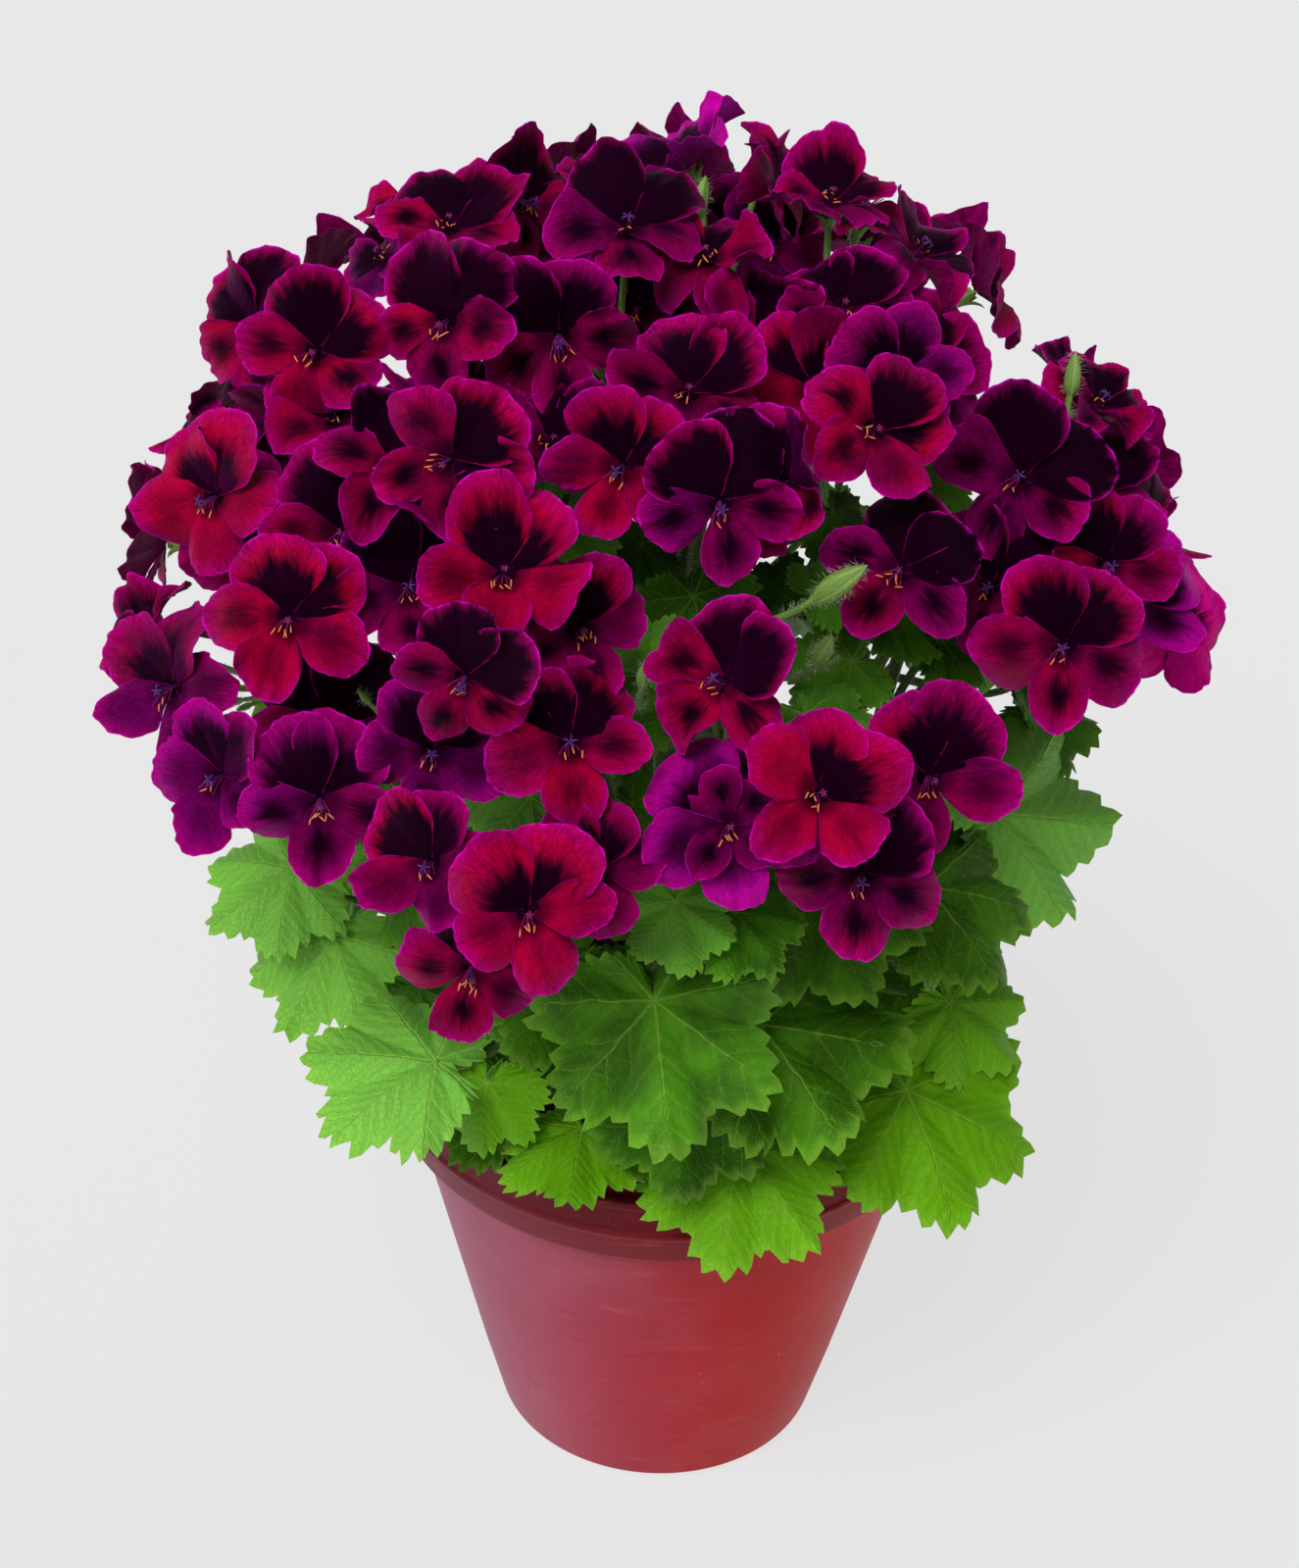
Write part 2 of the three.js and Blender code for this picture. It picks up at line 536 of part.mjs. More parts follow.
function buildLeaves(shoots) {
  LEAVES.forEach((leaf, n) => {
    const found = tryLeaf(leaf, n, shoots);
    const owner = `shoot_${found.shoot.index}`;
    found.shoot.parts.push(keep(found.blade, owner, 'blade'), keep(found.petiole, owner, 'stalk'));
  });
}

function tryBud([x, y, z, azimuth, elevation, length], shoot) {
  const axis = direction(azimuth, elevation);
  const turn = new THREE.Quaternion().setFromUnitVectors(new THREE.Vector3(0, 0, 1), axis);
  const own = (o) => o.owner === `shoot_${shoot.index}` && o.kind !== 'blade';
  for (const slide of slides(2, 30)) {
    const foot = new THREE.Vector3(x, y, z).addScaledVector(axis, slide - length / 2);
    const bud = lathe(BUD_PROFILE.map(([r, t]) => [r * length, t * length]), 5)
      .transform(new THREE.Matrix4().compose(foot, turn, new THREE.Vector3(1, 1, 1)).elements);
    const holder = isClear(bud, () => false)
      && stalk(shoot, foot.clone().addScaledVector(axis, 1.5), axis, BUD_STALK, own, 0.9);
    if (holder) return [bud, holder];
  }
  return null;
}

function buildBuds(shoots) {
  BUDS.forEach((bud) => {
    const [shoot] = byNearness(shoots, new THREE.Vector3(...bud));
    tryBud(bud, shoot).forEach((solid) => shoot.parts.push(keep(solid, `shoot_${shoot.index}`, 'stalk')));
  });
}

function byNearness(shoots, base) {
  const far = (s) => s.curve.getPoint(0.8).distanceTo(base);
  return [...shoots].sort((a, b) => far(a) - far(b));
}

// ---- pot and soil ----
function potSolid() {
  const inner = (z) => POT.base + ((POT.shoulder - POT.base) * z) / POT.shoulderZ - POT.wall;
  const outside = [[0, 0], [POT.base - 2.5, 0], [POT.base, 2.5], [POT.shoulder, POT.shoulderZ],
    [POT.band, POT.shoulderZ + 0.4], [POT.ridge, POT.ridgeZ], [POT.rim - 0.3, POT.ridgeZ + 0.9], [POT.rim, POT.rimZ],
    [POT.lip + 1.2, POT.rimZ]];
  const inside = [[POT.lip + 1, POT.rimZ - 2.4], [POT.lip, POT.rimZ - 2.4], [POT.lip - 0.4, POT.lipZ],
    [POT.lip - 2.2, POT.lipZ], [inner(POT.shoulderZ), POT.shoulderZ - 2], [inner(POT.floor), POT.floor], [0, POT.floor]];
  let pot = lathe([...outside, ...inside], POT.sides);
  for (let i = 0; i < POT.drains; i += 1) {
    const a = (2 * Math.PI * i) / POT.drains;
    pot = pot.subtract(solidOf(new THREE.CylinderGeometry(POT.drainRadius, POT.drainRadius, 4 * POT.floor, 6)
      .rotateX(Math.PI / 2).translate(POT.drainRing * Math.cos(a), POT.drainRing * Math.sin(a), 0)));
  }
  return pot;
}

function soilSolid() {
  const slope = (POT.shoulder - POT.base) / POT.shoulderZ;
  const radius = (z) => POT.base + slope * z - POT.wall - GAP - 0.4;
  let soil = lathe([[0, POT.floor + GAP], [radius(POT.floor + GAP) - 1, POT.floor + GAP],
    [radius(POT.shoulderZ - 3), POT.shoulderZ - 3], [radius(POT.shoulderZ) - 0.2, SOIL.edgeZ], [0, SOIL.crownZ]],
  SOIL.sides);
  STEMS.forEach(({ foot }) => {
    soil = soil.subtract(solidOf(new THREE.CylinderGeometry(STEM_RADIUS + 1.4, STEM_RADIUS + 1.4, 2 * SOIL.holeDepth, 6)
      .rotateX(Math.PI / 2).translate(foot[0], foot[1], soilHoleFloor() + SOIL.holeDepth)));
  });
  return soil;
}

// ---- the whole plant ----
function fuse(parts) {
  return parts.reduce((a, b) => a.add(b));
}

const pot = keep(potSolid(), 'pot', 'pot');
const soil = keep(soilSolid(), 'soil', 'soil');
const shoots = buildShoots();
const knobs = buildKnobs(shoots);
buildBlooms(knobs);
buildBuds(shoots);
buildLeaves(shoots);

const plant = new THREE.Group();
plant.add(meshOf('pot', pot, COLOURS.pot, 0.45));
plant.add(meshOf('soil', soil, COLOURS.soil, 0.95));
shoots.forEach((s) => plant.add(meshOf(`shoot_${s.index + 1}`, fuse(s.parts), COLOURS.green, 0.6)));
knobs.forEach((knob, h) => {
  const name = `head_${String(h + 1).padStart(2, '0')}`;
  plant.add(meshOf(name, fuse(knob.parts), COLOURS.petal, 0.6));
});
export default plant;
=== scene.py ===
"""A potted geranium in full flower, dressed for rendering: the solids of the frame give every bloom, leaf
and bud its place, and the pieces here give it veined, ruffled and hairy surfaces. Lengths are in millimetres
until a piece is made, and directions are azimuth and elevation in degrees."""

import math

import bmesh
import bpy
import numpy as np
from mathutils import Matrix, Vector


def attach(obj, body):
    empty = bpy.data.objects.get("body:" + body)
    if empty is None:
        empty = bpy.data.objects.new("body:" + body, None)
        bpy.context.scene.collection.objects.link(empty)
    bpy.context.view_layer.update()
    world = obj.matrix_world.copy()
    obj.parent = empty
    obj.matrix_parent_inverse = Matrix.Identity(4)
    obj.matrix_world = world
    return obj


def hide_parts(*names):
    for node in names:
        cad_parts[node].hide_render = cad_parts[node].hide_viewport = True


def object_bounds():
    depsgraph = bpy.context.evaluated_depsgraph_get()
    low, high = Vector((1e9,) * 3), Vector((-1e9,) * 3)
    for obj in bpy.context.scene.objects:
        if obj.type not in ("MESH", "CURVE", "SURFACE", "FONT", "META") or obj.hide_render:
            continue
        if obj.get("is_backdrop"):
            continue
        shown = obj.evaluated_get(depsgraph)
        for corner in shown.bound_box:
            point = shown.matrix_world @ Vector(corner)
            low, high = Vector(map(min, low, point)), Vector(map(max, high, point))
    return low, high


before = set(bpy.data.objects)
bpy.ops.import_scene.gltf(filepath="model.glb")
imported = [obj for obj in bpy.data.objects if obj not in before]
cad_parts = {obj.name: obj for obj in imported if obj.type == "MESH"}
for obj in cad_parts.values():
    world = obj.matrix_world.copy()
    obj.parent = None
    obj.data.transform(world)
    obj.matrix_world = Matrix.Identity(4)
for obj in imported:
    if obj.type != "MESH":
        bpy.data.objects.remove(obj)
cad_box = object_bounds()

MM = 0.001
UP = np.array([0.0, 0.0, 1.0])

# ---- the plan of the plant, in millimetres ----
POT = dict(base=56, shoulder=87.1, shoulder_z=132.7, band=92.8, ridge=95.4, ridge_z=145.5, rim=95, rim_z=158,
           lip=90, lip_z=161.5, wall=2.4, floor=3, drains=5, drain_radius=5, drain_ring=34)
SOIL = dict(edge_z=143, crown_z=147)
STEM_RADIUS = 3.4
PEDUNCLE_RADIUS = 1.9
PETIOLE_RADIUS = 1.3
BUD_STALK_RADIUS = 1.0
PEDICEL_RADIUS = 0.95
KNOB = dict(height=5, depth=34)
CROWN = np.array([-12.0, 0, 298])      # middle of the dome of flowers
DOME_REACH = (162, 162, 150)           # from the crown to the blooms at the back
CALYX_DEPTH = 7
BLADE_SINK = 0.45                      # how far a leaf's stalk ends below its blade
ROOT_DEPTH = 20
CRUMBS = 900
LONG_BUD = 15                          # a longer bud has a second one beside it
GAP = 0.3

# How the places are read from the solids, as the solids were built.
NEAR = 0.03                            # how closely a corner of the solids has to match
BLOOM_SLIDE, LEAF_SLIDE, BUD_SLIDE = (2.5, 45), (2, 36), (2, 30)    # step and furthest, along its axis
LEAF_TWISTS = (0, 30, -30, 60, -60)    # degrees
STALK_BOWS = (0, 7, 14, 21, 28, 36)    # how far a stalk may bow aside
FINE_STEPS = 201                       # points on a curve when its length is measured
END_BULGE = 0.02                       # how far the closed end of a tube stands out
UPRIGHT = 0.98                         # height of a unit axis from which it counts as upright

# Where the random numbers of each kind of thing start.
SEEDS = dict(soil=11, head=100, stem=300, leaf=400, inner_leaf=500, head_stalk=600)

# Stems: where each stands in the soil, and where it ends.
STEMS = [
    ((0, -34), (-10, -62, 268)), ((31, -15), (56, -38, 280)), ((28, 22), (58, 34, 285)),
    ((0, 36), (0, 66, 285)), ((-30, 20), (-62, 32, 285)), ((-30, -16), (-66, -40, 272)),
    ((0, 0), (-6, -8, 335)),
]

# Flower heads: the stem that carries each, and its blooms as
# (x, y, z of the throat, direction it faces (azimuth, elevation), turn about its axis, width).
HEADS = [
    (4, [(-134, 38, 392, -125, 20, 30, 50), (-107, -42, 425, -95, 35, -20, 44),
         (-120, -19, 391, -95, -10, -150, 39)]),
    (6, [(-73, 6, 441, -85, 70, -15, 43), (-54, 31, 440, -40, 25, -25, 38),
         (-92, 18, 425, -160, 45, 115, 35), (-69, -46, 438, -110, 25, 10, 44),
         (-40, 33, 430, -65, 60, -25, 41)]),
    (6, [(-21, -17, 453, -90, 65, 5, 47), (-39, -54, 437, -90, 15, 15, 45),
         (-19, -31, 437, -95, 25, 15, 39)]),
    (6, [(-4, 29, 453, 175, 60, 130, 43), (22, 22, 452, -20, 30, -60, 40), (9, 25, 441, -95, 40, -20, 38),
         (25, 7, 443, -80, 30, -10, 37), (5, -14, 436, -115, 60, 40, 39)]),
    (6, [(37, 4, 447, -65, 80, -45, 37), (62, 6, 438, -10, 50, -110, 40), (41, -25, 435, -85, 55, 0, 42),
         (56, -60, 432, -95, 35, 25, 41), (65, -28, 420, -70, 45, -45, 48)]),
    (6, [(-2, -75, 435, -90, 50, -15, 43), (-21, -102, 424, -105, 25, -10, 43),
         (7, -110, 419, -90, 20, 10, 45), (19, -36, 435, -60, 55, -80, 39)]),
    (6, [(24, -100, 420, -130, 20, 5, 40), (33, -61, 428, -95, 30, 5, 45),
         (44, -76, 420, -65, 40, -70, 42)]),
    (1, [(92, -65, 404, -100, 45, -20, 47), (118, -10, 399, -30, 60, -85, 36),
         (119, -28, 381, -50, 55, -30, 43), (136, -8, 360, -20, 20, -75, 43)]),
    (1, [(104, -101, 372, -100, 35, -5, 48), (128, -59, 363, -75, 30, -30, 44),
         (143, -20, 331, -65, 25, -60, 38), (116, -44, 366, -85, 30, 0, 40)]),
    (1, [(57, -104, 396, -95, 40, -30, 44), (82, -86, 383, -110, 35, 5, 44)]),
    (5, [(-82, -89, 413, -85, 55, -35, 43), (-64, -80, 416, -95, 20, -70, 43),
         (-102, -53, 412, -110, 75, 40, 39), (-66, -51, 420, -85, 85, -5, 41),
         (-40, -70, 412, -65, 60, -50, 38)]),
    (5, [(-135, -60, 387, -125, 25, 20, 46), (-130, -63, 378, -95, 30, -40, 42),
         (-98, -82, 390, -85, 40, -10, 44), (-109, -113, 380, -85, 35, -15, 44)]),
    (0, [(-77, -108, 391, -85, 45, 5, 45), (-50, -126, 403, -85, 55, -5, 45),
         (-56, -125, 380, -95, 15, -25, 40), (-28, -131, 391, -75, 30, 15, 39)]),
    (5, [(-142, -87, 340, -130, 25, 40, 46), (-157, -63, 343, -165, 50, 125, 37),
         (-128, -120, 332, -120, 30, 0, 41)]),
    (5, [(-99, -140, 339, -85, 25, 0, 45), (-99, -116, 349, -85, 35, 0, 46)]),
    (0, [(-68, -143, 358, -85, 35, -15, 42), (-31, -149, 365, -90, 45, 10, 43)]),
    (0, [(-64, -155, 330, -115, 30, 30, 38), (-40, -167, 321, -90, 40, 15, 44),
         (-56, -167, 304, -85, 10, -20, 41), (-22, -166, 337, -105, 35, 25, 39)]),
    (0, [(11, -137, 378, -120, 45, -20, 43), (12, -160, 349, -90, 40, 15, 47),
         (29, -144, 342, -70, 45, -50, 43)]),
    (1, [(49, -158, 333, -95, 25, -5, 46), (67, -140, 353, -80, 35, -10, 46)]),
]
# Heads at the back: stem, azimuth, elevation.
BACK_HEADS = [(2, 14, 22), (2, 46, 47), (3, 78, 18), (3, 98, 62), (4, 136, 42), (4, 156, 10)]

# Blooms with painted light or shade, as (head, bloom) counted from 1: painted shade on the blackish ones,
# painted backlight over the violet ones' own violet, painted light on the bright, glowing and pink ones; the
# others are crimson.
SHADED_BLACKISH = {(2, 4), (2, 5), (3, 1), (3, 2), (3, 3), (5, 2), (5, 3), (6, 3), (8, 1), (8, 3), (10, 1), (10, 2),
            (11, 1), (11, 5), (13, 1), (13, 3), (15, 2)}
BACKLIT_VIOLET = {(2, 3), (4, 3), (4, 4), (14, 1), (15, 1), (14, 3), (5, 4), (1, 3), (16, 1)}
LIT_BRIGHT = {(12, 1), (13, 2), (12, 4), (17, 2), (18, 3), (7, 2)}
GLOWING = {(4, 1), (9, 2), (18, 2)}   # violet with the light on it
LIT_PINK = {(9, 3)}                       # its petals lie open to the light
DOUBLE = (18, 2)                      # a bloom with a second ring of petals
# How far the dark blotches of these blooms reach, and their shade, each as a range: -2 is pink, -1 red,
# 0 crimson, 1 violet and 2 magenta.
TONES = [(SHADED_BLACKISH, (1.15, 1.35), (0.4, 0.65)), (LIT_PINK, (0.5, 0.62), (-1.9, -1.6)),
         (GLOWING, (0.8, 1.0), (1.6, 2.0)), (BACKLIT_VIOLET, (0.75, 1.0), (0.7, 1.1)),
         (LIT_BRIGHT, (0.65, 0.9), (-0.55, -0.2))]
CRIMSON = (0.8, 1.15), (-0.15, 0.45)

# Leaves: (x, y, z where the stalk meets the blade, azimuth and elevation it faces, turn, width).
LEAVES = [
    (-6, -128, 264, -90, 40, -172, 72), (26, -100, 235, -75, 60, -108, 80),
    (-56, -92, 203, -100, 30, 175, 40), (-27, -92, 186, -95, 80, 180, 51), (22, -98, 188, -95, 65, 175, 63),
    (-1, -140, 308, -90, 45, -170, 33), (16, -130, 298, -95, 65, -140, 35),
    (-45, -110, 242, -90, 50, -150, 20), (-50, -80, 203, -100, 55, 62, 68),
    (-71, -92, 202, -115, 80, 105, 66), (-108, -40, 219, -120, 45, 178, 56),
    (-121, -30, 237, -115, 55, 145, 51), (-86, -70, 272, -95, 55, 175, 29),
    (98, -35, 270, -58, 38, -110, 76), (111, 10, 281, -65, 55, -125, 41), (71, -60, 251, -65, 55, -112, 62),
    (75, -67, 185, -65, 55, -130, 76), (28, -50, 354, -95, 50, -5, 24), (48, -75, 345, -100, 60, 130, 34),
    (-11, -95, 353, -90, 50, -30, 25), (72, -15, 372, -100, 50, -15, 25), (-41, -40, 370, -90, 50, 25, 20),
    (-14, -40, 363, -90, 55, 160, 32), (37, -60, 342, -95, 60, -90, 26), (-14, -110, 320, -90, 65, -95, 25),
    (75, -55, 344, -100, 60, -90, 29), (34, -100, 342, -95, 65, -140, 36),
    (-95, -20, 268, -130, 45, 160, 60), (90, 10, 225, -50, 50, -150, 66), (-34, -112, 262, -95, 55, 165, 50),
    (40, -85, 275, -80, 55, -160, 60), (4, -104, 214, -90, 50, 178, 58), (88, -45, 203, -60, 50, -150, 46),
]
# Leaves with painted light on them, leaves of a yellower green, and leaves with painted shade on them.
LIT_LEAVES, LIME_LEAVES = {9, 10, 11, 12, 13}, {2, 3, 4, 16, 28, 32}
SHADED_LEAVES = {1, 8, 15, 17, 21, 22, 24, 25, 29, 30, 31}
BACK_LEAVES = [(10, 50, 90, 130, 170), (104, 210, 62)], [(30, 70, 110, 150), (98, 268, 56)]
INNER_LEAVES = [dict(count=34, reach=(116, 116, 96), low=-6, high=72, width=(30, 44)),
                dict(count=18, reach=(90, 90, 108), low=-58, high=-16, width=(34, 46))]
SIDE_LEAVES = [(76, -22, 196, -70, 50, 46), (-82, -30, 192, -115, 50, 40)]
GOLDEN_ANGLE = 137.5                  # degrees
LOBE_ANGLE = 48.0                     # degrees from one lobe of a leaf to the next

# Buds: (x, y, z of the middle, azimuth and elevation it points, length).
BUDS = [
    (40, -122, 402, -20, 45, 20), (-144, -100, 336, 185, 15, 18), (-134, -100, 329, 200, -5, 14),
    (-25, -108, 408, -30, 20, 13), (-20, -128, 363, -20, 10, 13), (-12, -122, 371, -80, 70, 11),
    (-8, 5, 448, 140, 50, 12), (0, 10, 452, 60, 70, 14), (110, -15, 412, 80, 75, 14),
    (38, -98, 366, -60, 60, 16),
]


# ---- directions and frames ----
def unit(v):
    return v / np.linalg.norm(v)


def unit_rows(v):
    return v / np.linalg.norm(v, axis=1, keepdims=True)


def direction(azimuth, elevation):
    a, e = math.radians(azimuth), math.radians(elevation)
    return np.array([math.cos(e) * math.cos(a), math.cos(e) * math.sin(a), math.sin(e)])


def angles(v):
    return math.degrees(math.atan2(v[1], v[0])), math.degrees(math.asin(v[2] / np.linalg.norm(v)))


def spun(v, axis, degrees):
    """v turned about a unit axis."""
    a = math.radians(degrees)
    return v * math.cos(a) + np.cross(axis, v) * math.sin(a) + axis * (v @ axis) * (1 - math.cos(a))


def facing(n, turn):
    """Rows x, y and z of a frame that faces n; y is the upward direction turned about n."""
    y = spun(unit(UP - n * n[2]), n, turn)
    return np.array([np.cross(y, n), y, n])


def around(x, y, a):
    """The direction at angle a from x towards y, and the one at right angles to it."""
    return math.cos(a) * x + math.sin(a) * y, math.sin(a) * x - math.cos(a) * y


def draws(kind, number=0):
    """The stream of random numbers of one thing of a kind."""
    return np.random.default_rng(SEEDS[kind] + number)


def axes_of(spot, twist=0):
    return facing(direction(spot[3], spot[4]), spot[5] + twist)


# ---- reading the places out of the frame ----
def node_points(name):
    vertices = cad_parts[name].data.vertices
    flat = np.empty(3 * len(vertices))
    vertices.foreach_get("co", flat)
    return flat.reshape(-1, 3) / MM


def has_point(points, at):
    return (np.abs(points - at).max(axis=1) < NEAR).any()


def count_round(points, middle, radius):
    """How many points lie at a distance from a middle."""
    return (np.abs(np.linalg.norm(points - middle, axis=1) - radius) < NEAR).sum()


def slides(step, most):
    """Distances along an axis: none, then further and further either way."""
    return [0.0] + [sign * s for s in np.arange(step, most + 0.01, step) for sign in (-1, 1)]


def find_bloom(points, start, axis):
    """Where on its axis a bloom came to rest: its throat is a corner of the solids."""
    for slide in slides(*BLOOM_SLIDE):
        if has_point(points, start + slide * axis):
            return start + slide * axis
    raise ValueError("a bloom is not in the solids")


def bezier(a, b, c, d, t):
    t = np.asarray(t)[:, None]
    return (1 - t) ** 3 * a + 3 * t * (1 - t) ** 2 * b + 3 * t * t * (1 - t) * c + t ** 3 * d


def arc(a, b, c, d, count):
    """A number of points along a curve."""
    return bezier(a, b, c, d, np.linspace(0, 1, count))


def stem_corners(stem):
    """The curve of a stem: it rises straight out of the soil and leans into its end."""
    foot, top = stem
    start, end = np.array([*foot, SOIL["crown_z"] + 3.0]), np.array(top, float)
    azimuth, elevation = angles(end - start)
    return start, start + 45 * UP, end - 40 * direction(azimuth, elevation + 8), end


def stalk_corners(start, end, arrive, bow, turn):
    """The curve of a stalk that ends along arrive and bows aside, in one of 8 directions."""
    span = end - start
    reach = np.linalg.norm(span)
    away = unit(unit(span) + 0.5 * UP)
    x, y, _ = facing(unit(span), 0)
    bulge = bow * around(x, y, math.radians(45 * turn))[0]
    return start, start + 0.38 * reach * away + bulge, end - 0.34 * reach * arrive + bulge, end


def evenly(corners, count):
    """Points at equal distances along a curve."""
    fine = arc(*corners, FINE_STEPS)
    length = np.concatenate([[0], np.cumsum(np.linalg.norm(np.diff(fine, axis=0), axis=1))])
    t = np.interp(np.linspace(0, length[-1], count), length, np.linspace(0, 1, FINE_STEPS))
    return bezier(*corners, t)


def traced_stalk(points, starts, end, arrive, radius, steps):
    """The curve that the solids gave a stalk: its first ring of corners is found among the points."""
    for start in starts:
        for bow in STALK_BOWS:
            for turn in range(8 if bow else 1):
                corners = stalk_corners(start, end, arrive, bow, turn)
                if count_round(points, evenly(corners, steps + 1)[1], radius) >= 3:
                    return corners
    return stalk_corners(starts[0], end, arrive, 0, 0)


# ---- gathering the surface of a piece ----
class Stock:
    """Points, faces and surface values for one piece, in millimetres."""

    def __init__(self):
        self.points, self.faces, self.place, self.tone, self.count = [], [], [], [], 0

    def add(self, points, faces, place=(0, 0, 0), tone=(0, 0, 0)):
        points = np.asarray(points, float)
        n = len(points)
        self.points.append(points)
        self.faces.extend((np.asarray(f) + self.count).tolist() for f in faces if len(f))
        self.place.append(np.broadcast_to(np.asarray(place, float), (n, 3)))
        self.tone.append(np.broadcast_to(np.asarray(tone, float), (n, 3)))
        self.count += n

    def piece(self, name, material, slot, nodes, crisp=60):
        """The gathered surface as a named piece that stands for the nodes."""
        mesh = bpy.data.meshes.new(name)
        points = (np.concatenate(self.points) * MM).tolist()
        mesh.from_pydata(points, [], [f for part in self.faces for f in part])
        for label, values in (("place", self.place), ("tone", self.tone)):
            layer = mesh.attributes.new(label, "FLOAT_VECTOR", "POINT")
            layer.data.foreach_set("vector", np.concatenate(values).ravel())
        mesh.polygons.foreach_set("use_smooth", np.ones(len(mesh.polygons), bool))
        if crisp:
            mesh.set_sharp_from_angle(angle=math.radians(crisp))
        mesh.materials.append(material)
        return placed(bpy.data.objects.new(name, mesh), nodes)


def placed(piece, nodes):
    if not piece.users_collection:
        bpy.context.scene.collection.objects.link(piece)
    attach(piece, "root")
    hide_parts(*nodes)
    return piece


def grid_faces(rows, columns, wrap=False):
    """Quads of a grid of points, row by row, with each row closed on itself if it wraps."""
    r, c = np.meshgrid(np.arange(rows - 1), np.arange(columns if wrap else columns - 1), indexing="ij")
    r, c = r.ravel(), c.ravel()
    d = (c + 1) % columns
    return np.stack([r * columns + c, (r + 1) * columns + c, (r + 1) * columns + d, r * columns + d], axis=1)


def closed_faces(rings, sides, downward=False):
    """Faces of a body of rings, closed by one point at each end; these two points are numbered last."""
    c = np.arange(sides)
    d = (c + 1) % sides
    walls = grid_faces(rings, sides, wrap=True)
    if downward:
        c, d = d, c
    else:
        walls = walls[:, ::-1]
    n = rings * sides
    foot = np.stack([np.full(sides, n), d, c], axis=1)
    head = np.stack([np.full(sides, n + 1), n - sides + c, n - sides + d], axis=1)
    return [walls, foot, head]


def circle(sides):
    """Angles at even steps round a circle, in radians."""
    return 2 * np.pi * np.arange(sides) / sides


def strip_faces(edge, lower):
    """Quads between an open line of points and its copy, whose numbers are larger by lower."""
    a, b = edge[:-1], edge[1:]
    return np.stack([a, b, b + lower, a + lower], axis=1)


def surface_normals(grid, wrap=False):
    """Unit normals of a grid, along its rows by across its columns."""
    along = np.gradient(grid, axis=0)
    if wrap:
        across = (np.roll(grid, -1, axis=1) - np.roll(grid, 1, axis=1)) / 2
    else:
        across = np.gradient(grid, axis=1)
    n = np.cross(along, across)
    return n / np.maximum(np.linalg.norm(n, axis=2, keepdims=True), 1e-9)


def thin_sheet(grid, thickness):
    """A closed thin body on a grid whose rows run outward: its points and faces, upper side first."""
    rows, columns = grid.shape[:2]
    lower = rows * columns
    under = grid - surface_normals(grid) * thickness[..., None]
    top = grid_faces(rows, columns)
    ids = np.arange(lower).reshape(rows, columns)
    edge = np.concatenate([ids[:, 0], ids[-1, 1:], ids[::-1, -1][1:], ids[0, ::-1][1:]])
    points = np.concatenate([grid.reshape(-1, 3), under.reshape(-1, 3)])
    return points, [top, top[:, ::-1] + lower, strip_faces(edge[::-1], lower)]


def thin_disc(grid, thickness):
    """A closed thin body on rings around a middle; the first row is the middle itself, repeated."""
    rows, columns = grid.shape[:2]
    normals = surface_normals(grid, wrap=True)
    normals[0] = unit(normals[1].mean(axis=0))
    under = grid - normals * thickness[..., None]
    rings = grid_faces(rows - 1, columns, wrap=True) + 1
    c = np.arange(columns)
    d = (c + 1) % columns
    fan = np.stack([np.zeros(columns, int), 1 + c, 1 + d], axis=1)
    lower = 1 + (rows - 1) * columns
    edge = np.append(lower - columns + c, lower - columns)
    points = np.concatenate([grid[:1, 0], grid[1:].reshape(-1, 3), under[:1, 0], under[1:].reshape(-1, 3)])
    return points, [rings, fan, rings[:, ::-1] + lower, fan[:, ::-1] + lower, strip_faces(edge[::-1], lower)]


def path_frames(path):
    """Directions along a path and two sideways directions that turn with it as little as they can."""
    along = unit_rows(np.gradient(path, axis=0))
    side = unit(np.cross(along[0], UP if abs(along[0][2]) < 0.9 else np.array([1.0, 0, 0])))
    sides = []
    for t in along:
        side = unit(side - t * (side @ t))
        sides.append(side)
    sides = np.array(sides)
    return along, sides, np.cross(along, sides)


def tube(path, radii, sides=8):
    """A closed tube along a path: its points, faces, and how far along and around each point lies."""
    path = np.asarray(path, float)
    n = len(path)
    along, x, y = path_frames(path)
    a = circle(sides)
    ring = np.cos(a)[None, :, None] * x[:, None] + np.sin(a)[None, :, None] * y[:, None]
    points = path[:, None] + ring * np.broadcast_to(np.asarray(radii, float), (n,))[:, None, None]
    ends = path[:1] - along[0] * END_BULGE, path[-1:] + along[-1] * END_BULGE
    length = np.linspace(0, 1, n).repeat(sides)
    place = np.stack([length, np.tile(a, n), np.zeros(n * sides)], axis=1)
    place = np.concatenate([place, place[:1], place[-1:]])
    return np.concatenate([points.reshape(-1, 3), *ends]), closed_faces(n, sides), place


def rounded(points, radius, count):
    """A path through the points with its inner corners rounded."""
    path = [points[0]]
    for before, corner, after in zip(points, points[1:], points[2:]):
        a = corner + unit(before - corner) * min(radius, np.linalg.norm(before - corner) / 2)
        b = corner + unit(after - corner) * min(radius, np.linalg.norm(after - corner) / 2)
        path += list(arc(a, (a + 2 * corner) / 3, (b + 2 * corner) / 3, b, count))
    return np.array(path + [points[-1]])


